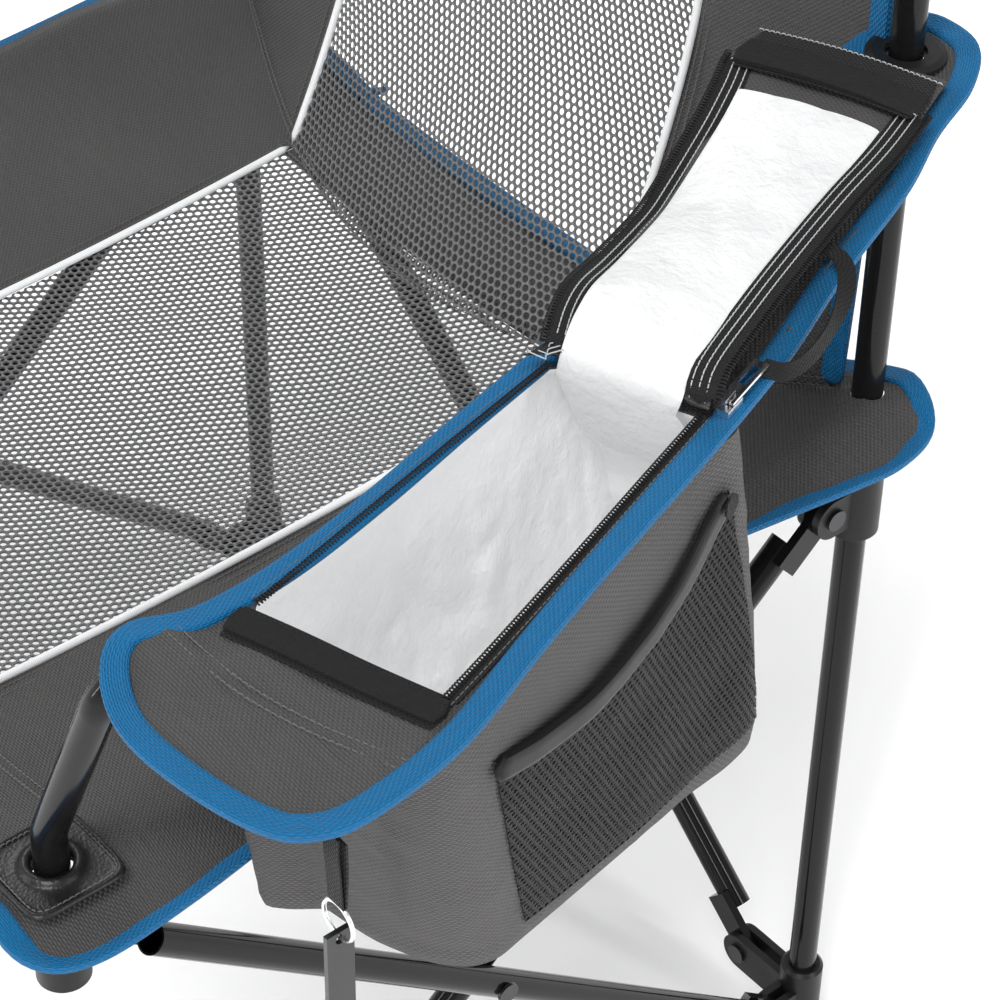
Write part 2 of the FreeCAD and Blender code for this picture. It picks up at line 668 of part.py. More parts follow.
for node in NODES:
    found = doc.getObjectsByLabel(node)
    shape = found[0].Shape
    if shape.isNull() or not shape.isValid():
        raise RuntimeError("shape of %s is null or invalid" % node)
    if shape.Volume <= 0 or not shape.Solids:
        raise RuntimeError("shape of %s has no solid" % node)
    shape.exportStep("parts/%s.step" % node)
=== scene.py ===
"""The looks of a folding camp chair with a cooler in one arm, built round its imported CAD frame."""
import json
import math
import bpy
from mathutils import Matrix, Vector, noise

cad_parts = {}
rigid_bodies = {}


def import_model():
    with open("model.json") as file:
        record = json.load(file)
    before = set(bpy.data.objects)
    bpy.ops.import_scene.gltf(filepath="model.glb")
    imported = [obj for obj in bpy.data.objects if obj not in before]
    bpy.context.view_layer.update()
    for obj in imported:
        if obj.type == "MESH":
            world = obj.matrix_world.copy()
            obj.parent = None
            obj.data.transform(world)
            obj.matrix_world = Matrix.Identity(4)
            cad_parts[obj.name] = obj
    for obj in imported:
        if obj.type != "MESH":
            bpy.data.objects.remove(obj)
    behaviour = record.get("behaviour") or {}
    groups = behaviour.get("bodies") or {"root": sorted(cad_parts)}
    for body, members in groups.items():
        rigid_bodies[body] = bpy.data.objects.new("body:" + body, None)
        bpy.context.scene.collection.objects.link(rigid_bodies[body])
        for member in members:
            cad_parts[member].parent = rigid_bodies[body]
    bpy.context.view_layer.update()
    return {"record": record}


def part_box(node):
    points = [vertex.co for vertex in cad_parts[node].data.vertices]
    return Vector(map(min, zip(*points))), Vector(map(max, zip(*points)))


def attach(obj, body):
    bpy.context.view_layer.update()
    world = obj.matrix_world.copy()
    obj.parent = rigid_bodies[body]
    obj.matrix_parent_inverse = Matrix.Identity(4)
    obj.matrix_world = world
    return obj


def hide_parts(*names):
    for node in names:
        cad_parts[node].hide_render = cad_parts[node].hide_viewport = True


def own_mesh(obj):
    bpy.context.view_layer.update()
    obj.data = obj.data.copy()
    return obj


bl_info = {
    "name": "Camp Chair Outfitter",
    "version": (1, 0, 0),
    "blender": (4, 5, 0),
    "location": "View3D > Sidebar > Camp Chair",
    "description": "Sews the cloth, cooler, bindings and trim of a folding camp chair onto its frame",
    "category": "Object",
}

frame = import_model()
MM = 0.001
UP = Vector((0, 0, 1))
WELD = 0.00002           # points nearer than this, in metres, are one


def middle(node):
    """The middle of a CAD node's box, in millimetres."""
    low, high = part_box(node)
    return (Vector(low) + Vector(high)) * 500.0


# The frame's own measures, in millimetres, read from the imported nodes.
POST = middle("rear_post_left")
HALF, REAR = POST.x, POST.y
FRONT = -REAR
WASHER_Z = middle("arm_washer_left").z
PATCH = middle("corner_patch_left")
SEAT_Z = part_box("corner_patch_left")[0][2] / MM - 0.5
BACK_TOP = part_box("back_mesh")[1][2] / MM
ARM_Z, ARM_SLOPE = WASHER_Z - 4.85, 0.14
CUP = middle("cup_rim")
BAG_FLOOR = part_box("cooler_shell")[0][2] / MM


# ---------------------------------------------------------------- settings
class ChairCloth(bpy.types.PropertyGroup):
    """Sizes of the sewn work, in metres."""
    binding_width: bpy.props.FloatProperty(
        name="Binding width", description="How far the bound tape reaches in from an edge",
        default=0.0105, unit="LENGTH")
    binding_height: bpy.props.FloatProperty(
        name="Binding height", description="How far the tape stands off the cloth",
        default=0.0018, unit="LENGTH")
    cloth_thickness: bpy.props.FloatProperty(
        name="Cloth thickness", description="Thickness of the coated canvas",
        default=0.0011, unit="LENGTH")
    piping_radius: bpy.props.FloatProperty(
        name="Piping radius", description="Radius of the white cord along the mesh",
        default=0.0022, unit="LENGTH")
    stitch_pitch: bpy.props.FloatProperty(
        name="Stitch length", description="Length of one sewn stitch",
        default=0.0034, unit="LENGTH")
    mesh_pitch: bpy.props.FloatProperty(
        name="Mesh pitch", description="Distance between the holes of the knitted mesh",
        default=0.0046, unit="LENGTH")


class ChairColours(bpy.types.PropertyGroup):
    """Colours of the finishes."""
    canvas: bpy.props.FloatVectorProperty(
        name="Canvas", description="Grey woven canvas", subtype="COLOR", size=4,
        default=(0.070, 0.068, 0.068, 1))
    binding: bpy.props.FloatVectorProperty(
        name="Binding", description="Blue bound edges", subtype="COLOR", size=4,
        default=(0.0, 0.126, 0.31, 1))
    mesh: bpy.props.FloatVectorProperty(
        name="Mesh", description="Open knitted mesh", subtype="COLOR", size=4,
        default=(0.13, 0.13, 0.133, 1))
    lining: bpy.props.FloatVectorProperty(
        name="Lining", description="Film that lines the cooler", subtype="COLOR", size=4,
        default=(0.78, 0.785, 0.79, 1))
    black: bpy.props.FloatVectorProperty(
        name="Black", description="Tubes, mouldings and tapes", subtype="COLOR", size=4,
        default=(0.006, 0.006, 0.0065, 1))


def cloth():
    return bpy.context.scene.chair_cloth


def colours():
    return bpy.context.scene.chair_colours


# ---------------------------------------------------------------- shapes
def deselect():
    if bpy.context.object and bpy.context.object.mode != "OBJECT":
        bpy.ops.object.mode_set(mode="OBJECT")
    bpy.ops.object.select_all(action="DESELECT")


def only(piece):
    deselect()
    piece.select_set(True)
    bpy.context.view_layer.objects.active = piece


def finish(piece, name, material, body, nodes=()):
    """Names a piece, gives it its material and hangs it on its body."""
    piece.name = name
    piece.data.name = name
    piece.data.materials.clear()
    piece.data.materials.append(material)
    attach(piece, body)
    if nodes:
        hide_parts(*nodes)
    return piece


def reshape(piece, operator, **settings):
    """Runs one edit mode operator on the whole of a piece."""
    only(piece)
    bpy.ops.object.mode_set(mode="EDIT")
    bpy.ops.mesh.select_all(action="SELECT")
    operator(**settings)
    bpy.ops.object.mode_set(mode="OBJECT")
    return piece


def lengths(points):
    """How far along a line each of its points lies."""
    total, run = [0.0], 0.0
    for a, b in zip(points, points[1:]):
        run += (b - a).length
        total.append(run)
    return total


def drape(across, along, place, around=False):
    """A grid primitive whose points are put where place(u, w) says, in millimetres.

    Its UV map holds real lengths in metres. around closes it in u, and merges what meets.
    """
    deselect()
    bpy.ops.mesh.primitive_grid_add(x_subdivisions=across, y_subdivisions=along, size=2)
    piece = bpy.context.object
    mesh = piece.data
    where = {}
    cells = []
    for vertex in mesh.vertices:
        i = round((vertex.co.x + 1) / 2 * across)
        j = round((vertex.co.y + 1) / 2 * along)
        cells.append((i, j))
        point = Vector(place(i / across, j / along)) * MM
        where[(i, j)] = point
        vertex.co = point
    across_run = lengths([where[(i, along // 2)] for i in range(across + 1)])
    along_run = lengths([where[(across // 2, j)] for j in range(along + 1)])
    layer = mesh.uv_layers[0] if mesh.uv_layers else mesh.uv_layers.new(name="UVMap")
    for loop in mesh.loops:
        i, j = cells[loop.vertex_index]
        layer.data[loop.index].uv = (across_run[i], along_run[j])
    if around:
        reshape(piece, bpy.ops.mesh.remove_doubles, threshold=WELD)
    return piece


def apply(piece, kind, **settings):
    only(piece)
    modifier = piece.modifiers.new(kind.title(), kind)
    for key, value in settings.items():
        setattr(modifier, key, value)
    bpy.ops.object.modifier_apply(modifier=modifier.name)
    return piece


def thicken(piece, thickness):
    return apply(piece, "SOLIDIFY", thickness=thickness, offset=-1.0, use_even_offset=False)


def outward(piece):
    return reshape(piece, bpy.ops.mesh.normals_make_consistent, inside=False)


def smooth(piece, angle=40.0):
    only(piece)
    bpy.ops.object.shade_smooth_by_angle(angle=math.radians(angle))
    return piece


def bore(piece, x, y, radius):
    """Cuts a round upright hole for a tube through a cloth piece."""
    deselect()
    bpy.ops.mesh.primitive_cylinder_add(vertices=32, radius=radius * MM, depth=0.3,
                                        location=(x * MM, y * MM, middle_z(piece)))
    drill = bpy.context.object
    apply(piece, "BOOLEAN", operation="DIFFERENCE", object=drill, solver="EXACT")
    bpy.data.objects.remove(drill)
    return piece


def middle_z(piece):
    heights = [v.co.z for v in piece.data.vertices]
    return (min(heights) + max(heights)) / 2


def curve_through(points, count, closed=False):
    """Evenly spaced points on a smooth curve through a few given ones, in millimetres."""
    knots = [Vector(p) for p in points]
    n = len(knots)
    fine = []
    spans = n if closed else n - 1
    for k in range(spans):
        if closed:
            a, b, c, d = (knots[(k + s) % n] for s in (-1, 0, 1, 2))
        else:
            a, b, c, d = knots[max(k - 1, 0)], knots[k], knots[k + 1], knots[min(k + 2, n - 1)]
        for step in range(16):
            s = step / 16
            fine.append(0.5 * (2 * b + (c - a) * s + (2 * a - 5 * b + 4 * c - d) * s * s
                               + (3 * b - a - 3 * c + d) * s ** 3))
    fine.append(knots[0].copy() if closed else knots[-1].copy())
    return evenly(fine, count)


def evenly(fine, count):
    run = lengths(fine)
    result, k = [], 0
    for step in range(count + 1):
        goal = run[-1] * step / count
        while k < len(fine) - 2 and run[k + 1] < goal:
            k += 1
        span = run[k + 1] - run[k]
        share = (goal - run[k]) / span if span else 0.0
        result.append(fine[k].lerp(fine[k + 1], min(max(share, 0.0), 1.0)))
    return result


def along_path(path, closed=False):
    """The direction of travel at each point of a path."""
    last = len(path) - 1
    result = []
    for k in range(len(path)):
        if closed and k in (0, last):
            step = path[1] - path[last - 1]
        else:
            step = path[min(k + 1, last)] - path[max(k - 1, 0)]
        result.append(step.normalized())
    return result


def swept(path, profile, up, closed=False):
    """Draws a closed profile of (inward, upward) points along a path.

    Inward is up x travel. up is one vector or a list with one for each point.
    """
    ways = along_path(path, closed)
    ups = up if isinstance(up, list) else [Vector(up)] * len(path)
    count, sides = len(path) - 1, len(profile)
    heart = [sum(spot[axis] for spot in profile) / sides for axis in (0, 1)]
    frames = []
    for way, top in zip(ways, ups):
        inward = top.cross(way).normalized()
        frames.append((inward, way.cross(inward).normalized()))

    def place(u, w):
        k = round(u * count)
        side, lift = profile[round(w * sides) % sides]
        if not closed and k in (0, count):
            side, lift = heart
        inward, top = frames[k]
        return path[k] + inward * side + top * lift

    piece = drape(count, sides, place, around=True)
    return outward(piece)


def round_profile(radius, sides):
    turns = [2 * math.pi * k / sides for k in range(sides)]
    return [(radius * math.cos(turn), radius * math.sin(turn)) for turn in turns]


def piping(path, up=UP):
    """A round cord along a path, with its ends drawn in."""
    return swept(path, round_profile(cloth().piping_radius / MM, 10), up)


def binding(path, up, closed=False):
    """A tape folded over an edge: it reaches in along up x travel on both faces."""
    wide = cloth().binding_width / MM
    high = cloth().binding_height / MM
    profile = [(-1.5, 0.0), (-1.1, high), (0.6, high * 1.35), (wide * 0.35, high * 1.15),
               (wide * 0.75, high * 1.2), (wide - 0.8, high * 1.05), (wide, high * 0.35),
               (wide, -high * 0.35), (wide - 0.8, -high * 1.05), (wide * 0.35, -high * 1.15),
               (0.6, -high * 1.35), (-1.1, -high)]
    return swept(path, profile, up, closed)


def stitch_row(path, up, side=0.0, lift=0.45, radius=0.34, pitch=None):
    """A sewn thread that rises and dips through the cloth once in each stitch."""
    pitch = pitch or cloth().stitch_pitch / MM
    total = lengths(path)[-1]
    stitches = max(2, round(total / pitch))
    fine = evenly(path, stitches * 4)
    ways = along_path(fine)
    ups = resample(up, len(fine)) if isinstance(up, list) else [Vector(up)] * len(fine)
    threaded = []
    for k, (point, way, top) in enumerate(zip(fine, ways, ups)):
        inward = top.cross(way).normalized()
        rise = lift if k % 4 in (1, 2, 3) else lift - radius * 3.2
        threaded.append(point + inward * side + top.normalized() * rise)
    return swept(threaded, round_profile(radius, 5), ups)


def resample(values, count):
    last = len(values) - 1
    result = []
    for k in range(count):
        spot = last * k / (count - 1)
        low = min(int(spot), last - 1)
        result.append(values[low].lerp(values[low + 1], spot - low))
    return result


def join(pieces):
    deselect()
    for piece in pieces:
        piece.select_set(True)
    bpy.context.view_layer.objects.active = pieces[0]
    bpy.ops.object.join()
    return bpy.context.object


def across_of(piece):
    """Length and width of a cloth piece as cut, in metres, from its UV map."""
    layer = piece.data.uv_layers[0].data
    us = [spot.uv[0] for spot in layer]
    vs = [spot.uv[1] for spot in layer]
    return max(us) - min(us), max(vs) - min(vs)


def cut_area(piece):
    return sum(face.area for face in piece.data.polygons)


def mirrored(piece, keep=True):
    """A copy of a left piece for the right side, as its own mesh with its faces outward."""
    only(piece)
    bpy.ops.object.duplicate()
    copy = bpy.context.object
    for vertex in copy.data.vertices:
        vertex.co.x = -vertex.co.x
    reshape(copy, bpy.ops.mesh.flip_normals)
    if not keep:
        bpy.data.objects.remove(piece)
    return copy


# ---------------------------------------------------------------- finishes
class Nodes:
    """Short words for building one material or one group."""

    def __init__(self, tree):
        self.tree = tree

    def add(self, kind, **settings):
        node = self.tree.nodes.new(kind)
        for key, value in settings.items():
            setattr(node, key, value)
        return node

    def link(self, out, into):
        self.tree.links.new(out, into)

    def put(self, socket, value):
        if isinstance(value, bpy.types.NodeSocket):
            self.link(value, socket)
        else:
            socket.default_value = value

    def math(self, operation, a, b=0.0, c=0.0):
        node = self.add("ShaderNodeMath", operation=operation)
        for socket, value in zip(node.inputs, (a, b, c)):
            self.put(socket, value)
        return node.outputs[0]

    def mix(self, share, a, b):
        node = self.add("ShaderNodeMix", data_type="RGBA")
        self.put(node.inputs[0], share)
        self.put(node.inputs[6], a)
        self.put(node.inputs[7], b)
        return node.outputs[2]

    def ramp(self, value, low, high, to_low=0.0, to_high=1.0):
        node = self.add("ShaderNodeMapRange")
        for socket, number in zip(node.inputs, (value, low, high, to_low, to_high)):
            self.put(socket, number)
        return node.outputs[0]

    def noise(self, vector, scale, detail=3.0, rough=0.5):
        node = self.add("ShaderNodeTexNoise")
        self.put(node.inputs["Vector"], vector)
        self.put(node.inputs["Scale"], scale)
        self.put(node.inputs["Detail"], detail)
        self.put(node.inputs["Roughness"], rough)
        return node.outputs[0]

    def scaled(self, vector, scale):
        node = self.add("ShaderNodeMapping")
        self.put(node.inputs["Vector"], vector)
        node.inputs["Scale"].default_value = scale
        return node.outputs[0]

    def split(self, vector):
        node = self.add("ShaderNodeSeparateXYZ")
        self.put(node.inputs[0], vector)
        return node.outputs[0], node.outputs[1]


def new_group(name, inputs, outputs):
    tree = bpy.data.node_groups.new(name, "ShaderNodeTree")
    for label, kind, value in inputs:
        socket = tree.interface.new_socket(label, in_out="INPUT", socket_type=kind)
        if value is not None:
            socket.default_value = value
    for label in outputs:
        tree.interface.new_socket(label, in_out="OUTPUT", socket_type="NodeSocketFloat")
    n = Nodes(tree)
    return tree, n, n.add("NodeGroupInput"), n.add("NodeGroupOutput")


def weave_group():
    """Plain woven cloth: crossing threads, uneven yarn and a slow change of tone."""
    if "Woven Yarn" in bpy.data.node_groups:
        return bpy.data.node_groups["Woven Yarn"]
    tree, n, given, out = new_group(
        "Woven Yarn", [("Vector", "NodeSocketVector", None), ("Across", "NodeSocketFloat", 1000.0),
                       ("Along", "NodeSocketFloat", 1000.0)], ("Height", "Tone"))
    u, v = n.split(given.outputs["Vector"])
    warp = n.math("MULTIPLY", u, n.math("MULTIPLY", given.outputs["Across"], math.pi))
    weft = n.math("MULTIPLY", v, n.math("MULTIPLY", given.outputs["Along"], math.pi))
    cross = n.math("MULTIPLY", n.math("SINE", warp), n.math("SINE", weft))
    rib = n.math("ABSOLUTE", n.math("SINE", weft))
    height = n.math("ADD", n.math("MULTIPLY", cross, 0.35), n.math("MULTIPLY", rib, 0.4))
    slub = n.noise(n.scaled(given.outputs["Vector"], (60.0, 900.0, 1.0)), 1.0, 2.0)
    slow = n.noise(given.outputs["Vector"], 14.0, 3.0)
    tone = n.math("ADD", n.math("MULTIPLY", slub, 0.55), n.math("MULTIPLY", slow, 0.45))
    n.link(n.math("ADD", height, n.math("MULTIPLY", slub, 0.35)), out.inputs["Height"])
    n.link(tone, out.inputs["Tone"])
    return tree


def holes_group():
    """Staggered oval holes of a knitted mesh, as a cover mask and a thread height."""
    if "Knitted Holes" in bpy.data.node_groups:
        return bpy.data.node_groups["Knitted Holes"]
    tree, n, given, out = new_group(
        "Knitted Holes", [("Vector", "NodeSocketVector", None), ("Pitch", "NodeSocketFloat", 0.0046),
                          ("Open", "NodeSocketFloat", 0.33)], ("Cover", "Height"))
    u, v = n.split(given.outputs["Vector"])
    pitch = given.outputs["Pitch"]
    a = n.math("DIVIDE", u, pitch)
    b = n.math("DIVIDE", v, n.math("MULTIPLY", pitch, 0.86))
    row = n.math("FLOOR", b)
    odd = n.math("MULTIPLY", n.math("MODULO", row, 2.0), 0.5)
    x = n.math("SUBTRACT", n.math("FRACT", n.math("ADD", a, odd)), 0.5)
    y = n.math("SUBTRACT", n.math("FRACT", b), 0.5)
    far = n.math("SQRT", n.math("ADD", n.math("MULTIPLY", x, x),
                                n.math("MULTIPLY", n.math("MULTIPLY", y, y), 0.8)))
    cover = n.ramp(far, n.math("SUBTRACT", given.outputs["Open"], 0.02),
                   n.math("ADD", given.outputs["Open"], 0.02))
    height = n.ramp(far, given.outputs["Open"], 0.6)
    n.link(cover, out.inputs["Cover"])
    n.link(height, out.inputs["Height"])
    return tree


def grain_group():
    """Fine pebble grain for mouldings, vinyl and paint."""
    if "Pebble Grain" in bpy.data.node_groups:
        return bpy.data.node_groups["Pebble Grain"]
    tree, n, given, out = new_group(
        "Pebble Grain", [("Vector", "NodeSocketVector", None), ("Scale", "NodeSocketFloat", 900.0)],
        ("Height", "Wear"))
    cells = n.add("ShaderNodeTexVoronoi", feature="SMOOTH_F1")
    n.link(given.outputs["Vector"], cells.inputs["Vector"])
    n.link(given.outputs["Scale"], cells.inputs["Scale"])
    n.link(cells.outputs["Distance"], out.inputs["Height"])
    n.link(n.noise(given.outputs["Vector"], 35.0, 5.0, 0.65), out.inputs["Wear"])
    return tree


def material(name):
    made = bpy.data.materials.new(name)
    made.use_nodes = True
    n = Nodes(made.node_tree)
    shader = made.node_tree.nodes["Principled BSDF"]
    return made, n, shader


def use_group(n, tree, vector, **values):
    node = n.add("ShaderNodeGroup")
    node.node_tree = tree
    n.link(vector, node.inputs["Vector"])
    for key, value in values.items():
        node.inputs[key].default_value = value
    return node


def bumped(n, shader, height, strength, distance):
    bump = n.add("ShaderNodeBump")
    bump.inputs["Strength"].default_value = strength
    bump.inputs["Distance"].default_value = distance
    n.link(height, bump.inputs["Height"])
    n.link(bump.outputs[0], shader.inputs["Normal"])
    return bump


def tinted(colour, factor):
    return (colour[0] * factor, colour[1] * factor, colour[2] * factor, 1)


def woven(name, colour, across=1050.0, along=1050.0, sheen=0.25, rough=(0.62, 0.82), depth=0.00025,
          strength=0.55, contrast=0.22, gloss=0.2):
    """Woven cloth or tape on the piece's own UV map, with painted shade in the hollows of its weave."""
    made, n, shader = material(name)
    uv = n.add("ShaderNodeTexCoord").outputs["UV"]
    yarn = use_group(n, weave_group(), uv, Across=across, Along=along)
    # painted shade and light: the weave's raised threads are painted lighter and its hollows darker, as far
    # as contrast says
    light = tinted(colour, 1.0 + contrast)
    dark = tinted(colour, 1.0 - contrast * 1.6)
    shade = n.mix(n.ramp(yarn.outputs["Height"], 0.0, 0.8), dark, light)
    tone = n.mix(yarn.outputs["Tone"], tinted(colour, 0.82), tinted(colour, 1.15))
    blend = n.add("ShaderNodeMix", data_type="RGBA", blend_type="MIX")
    blend.inputs[0].default_value = 0.5
    n.link(shade, blend.inputs[6])
    n.link(tone, blend.inputs[7])
    n.link(blend.outputs[2], shader.inputs["Base Color"])
    n.link(n.ramp(yarn.outputs["Tone"], 0.3, 0.7, rough[0], rough[1]), shader.inputs["Roughness"])
    shader.inputs["Sheen Weight"].default_value = sheen
    shader.inputs["Sheen Roughness"].default_value = 0.4
    shader.inputs["Specular IOR Level"].default_value = gloss
    bumped(n, shader, yarn.outputs["Height"], strength, depth)
    return made


def knitted(name, colour, pitch, open_share, rough=0.62, gloss=0.5):
    """Open mesh with real see-through holes, its threads painted darker at the holes' rims as painted shade.
    """
    made, n, shader = material(name)
    uv = n.add("ShaderNodeTexCoord").outputs["UV"]
    holes = use_group(n, holes_group(), uv, Pitch=pitch, Open=open_share)
    yarn = use_group(n, weave_group(), uv, Across=2600.0, Along=2600.0)
    # painted shade: the threads are painted darker at the rims of the holes and lighter between them
    base = n.mix(holes.outputs["Height"], tinted(colour, 0.6), tinted(colour, 1.2))
    n.link(n.mix(n.math("MULTIPLY", yarn.outputs["Tone"], 0.5), base, tinted(colour, 0.8)),
           shader.inputs["Base Color"])
    n.link(holes.outputs["Cover"], shader.inputs["Alpha"])
    n.link(n.ramp(yarn.outputs["Tone"], 0.2, 0.8, rough - 0.08, rough + 0.1), shader.inputs["Roughness"])
    shader.inputs["Sheen Weight"].default_value = 0.04
    shader.inputs["Specular IOR Level"].default_value = gloss
    bumped(n, shader, n.math("ADD", holes.outputs["Height"],
                             n.math("MULTIPLY", yarn.outputs["Height"], 0.25)), 0.6, 0.0004)
    return made


def moulded(name, colour, rough, scale, depth, coat=0.0, metal=0.0, strength=0.3, spread=0.08, gloss=0.35):
    """Paint, nylon, vinyl or plated metal on object coordinates."""
    made, n, shader = material(name)
    place = n.add("ShaderNodeTexCoord").outputs["Object"]
    grain = use_group(n, grain_group(), place, Scale=scale)
    n.link(n.mix(grain.outputs["Wear"], tinted(colour, 0.8), tinted(colour, 1.3)),
           shader.inputs["Base Color"])
    n.link(n.ramp(grain.outputs["Wear"], 0.3, 0.7, rough - spread, rough + spread),
           shader.inputs["Roughness"])
    shader.inputs["Coat Weight"].default_value = coat
    shader.inputs["Coat Roughness"].default_value = 0.06
    shader.inputs["Metallic"].default_value = metal
    shader.inputs["Specular IOR Level"].default_value = gloss
    bumped(n, shader, grain.outputs["Height"], strength, depth)
    return made


def lining_film(name, colour):
    """Soft white film with fine creases, and a faint painted glow that lights it up."""
    made, n, shader = material(name)
    place = n.add("ShaderNodeTexCoord").outputs["Object"]
    broad = n.noise(place, 22.0, 4.0, 0.6)
    fine = n.noise(n.scaled(place, (1.0, 1.4, 0.7)), 75.0, 5.0, 0.62)
    sharp = n.math("ABSOLUTE", n.math("SUBTRACT", fine, 0.5))
    n.link(n.mix(broad, tinted(colour, 0.94), tinted(colour, 1.04)), shader.inputs["Base Color"])
    n.link(n.ramp(broad, 0.3, 0.7, 0.34, 0.5), shader.inputs["Roughness"])
    shader.inputs["Coat Weight"].default_value = 0.1
    shader.inputs["Coat Roughness"].default_value = 0.3
    # painted light: a faint white emission makes the film glow brighter than the lamps alone would light it
    shader.inputs["Emission Color"].default_value = (1, 1, 1, 1)
    shader.inputs["Emission Strength"].default_value = 0.1
    bumped(n, shader, n.math("ADD", n.math("MULTIPLY", broad, 1.0), n.math("MULTIPLY", sharp, 0.5)),
           0.55, 0.006)
    return made


def fuzzy(name, colour):
    """Loop tape: a dense dark pile."""
    made, n, shader = material(name)
    place = n.add("ShaderNodeTexCoord").outputs["Object"]
    pile = n.noise(place, 1400.0, 4.0, 0.75)
    lump = n.noise(place, 160.0, 3.0, 0.6)
    n.link(n.mix(pile, tinted(colour, 0.3), tinted(colour, 2.4)), shader.inputs["Base Color"])
    shader.inputs["Roughness"].default_value = 0.95
    shader.inputs["Sheen Weight"].default_value = 0.05
    shader.inputs["Specular IOR Level"].default_value = 0.1
    bumped(n, shader, n.math("ADD", pile, lump), 1.0, 0.0012)
    return made


def plain_floor(name, tone):
    """A matt white floor, with the faintest unevenness."""
    made, n, shader = material(name)
    place = n.add("ShaderNodeTexCoord").outputs["Object"]
    uneven = n.noise(place, 3.0, 2.0)
    n.link(n.mix(uneven, (tone, tone, tone, 1), (tone * 0.985, tone * 0.985, tone * 0.985, 1)),
           shader.inputs["Base Color"])
    shader.inputs["Roughness"].default_value = 0.9
    shader.inputs["Specular IOR Level"].default_value = 0.1
    return made


FINISH = {}


def make_finishes():
    c = colours()
    canvas, blue, black = tuple(c.canvas), tuple(c.binding), tuple(c.black)
    pale = (0.72, 0.73, 0.74, 1)
    matt, fine = (0.66, 0.84), (0.5, 0.65)
    FINISH["canvas"] = woven("Grey Canvas", canvas, 700.0, 760.0, 0.05, matt, 0.0013, 1.0, 0.5)
    FINISH["bag"] = woven("Ribbed Canvas", tinted(canvas, 1.3), 600.0, 520.0, 0.05, matt, 0.0013, 1.0, 0.6)
    FINISH["binding"] = woven("Blue Binding", blue, 640.0, 900.0, 0.05, (0.5, 0.7), 0.0013, 1.0, 0.42)
    FINISH["tape"] = woven("Black Tape", tinted(black, 1.5), 760.0, 900.0, 0.05, (0.62, 0.8), 0.0008, 0.8,
                           0.35)
    FINISH["satin"] = woven("Satin Band", tinted(black, 2.0), 1500.0, 900.0, 0.05, (0.36, 0.48), 0.0002, 0.4,
                            0.2, 0.15)
    FINISH["piping"] = woven("White Piping", pale, 1500.0, 1500.0, 0.1, fine)
    FINISH["thread"] = woven("Grey Thread", tinted(canvas, 1.5), 3000.0, 3000.0)
    FINISH["pale_thread"] = woven("Pale Thread", (0.42, 0.43, 0.44, 1), 3000.0, 3000.0)
    FINISH["blue_thread"] = woven("Blue Thread", tinted(blue, 0.45), 3000.0, 3000.0)
    FINISH["mesh"] = knitted("Knitted Mesh", tuple(c.mesh), cloth().mesh_pitch, 0.39)
    FINISH["pocket"] = knitted("Pocket Net", tinted(black, 1.6), 0.0038, 0.27, 0.6, 0.12)
    FINISH["lining"] = lining_film("Lining Film", tuple(c.lining))
    # painted shade: the lid's film is the lining's white film painted darker, a shaded copy of it
    FINISH["lid_film"] = lining_film("Lid Film", tinted(c.lining, 0.75))
    FINISH["tube"] = moulded("Powder Coat", black, 0.12, 1500.0, 0.00002, strength=0.1, spread=0.04,
                             gloss=0.22)
    FINISH["nylon"] = moulded("Moulded Nylon", tinted(black, 1.3), 0.4, 1700.0, 0.00006, gloss=0.25)
    FINISH["vinyl"] = moulded("Grained Vinyl", black, 0.4, 750.0, 0.00022, strength=0.8)
    FINISH["rivet"] = moulded("Blackened Steel", (0.06, 0.06, 0.065, 1), 0.32, 900.0, 0.00002, metal=0.9)
    FINISH["plate"] = moulded("Nickel Plate", (0.72, 0.72, 0.74, 1), 0.2, 600.0, 0.00002, metal=1.0)
    FINISH["opener"] = moulded("Black Enamel", black, 0.3, 900.0, 0.00003, coat=0.3)
    FINISH["pile"] = fuzzy("Loop Tape", black)
    FINISH["floor"] = plain_floor("Pale Floor", 0.96)


# ---------------------------------------------------------------- the forms of the cloth
POST_HOLE = 8.6          # radius of the holes that the posts pass through
SEAT_LIFT = 1.4          # how far the corner patches stand above the seat's corners
SEAT_RISE, SEAT_SAG = 20.0, 46.0
PIPE_X = 126.0           # the cords run this far each side of the middle
SEAT_FRONT, SEAT_SPLIT, SEAT_BACK = -262, 170, 238     # the seat's ends, and where its mesh stops
ACROSS = range(-132, 133, 6)      # steps across the middle of the seat
BACK_LOW = 436.0
BACK_HALF = HALF - 14
SLEEVE_LOW = 800
PATCH_HALF, PATCH_SEAM = 25.0, 21.8
CUP_RADIUS = 43.0
MOUTH_ROUND = 9.0
FILM_THICK, NET_THICK, BAG_THICK = 0.0005, 0.0009, 0.0022
LINING_POINTS = 220
BAG_SEED = 4.0           # the pocket follows the creases of the bag's wall
SEAM_GAPS = (5.0, 9.5)   # how far a double seam lies from its edge
ON_BINDING = {"side": 8.0, "lift": 1.75, "radius": 0.4}
SIDE_OUTLINE = [(PIPE_X, -262), (215, -272), (272, -279), (297, -272), (307, -248), (306, -200),
                (300, -140), (290, -60), (287, 20), (291, 100), (298, 160), (303, 200), (305, 228),
                (299, 254), (280, 266), (250, 262), (205, 246), (PIPE_X, 238)]
ARM_OUTLINE = [(298, -214), (304, -230), (325, -243), (350, -248), (385, -245), (414, -238),
               (430, -228), (439, -207), (437, -160), (421, -107), (409, -66), (387, 15),
               (370, 70), (350, 120), (330, 178), (312, 215), (300, 248), (283, 270), (262, 275),
               (246, 270), (238, 250), (241, 222), (252, 200), (268, 150), (278, 90), (290, 20),
               (300, -50), (308, -100), (313, -150), (310, -190)]
MOUTH = [(324, -176), (419, -149), (374, 22), (301, -2)]
COOLER_TOP = [(316, -179), (350, -184), (392, -179), (418, -168), (426, -150), (418, -107),
              (388, -4), (377, 34), (303, 18), (292, 10)]
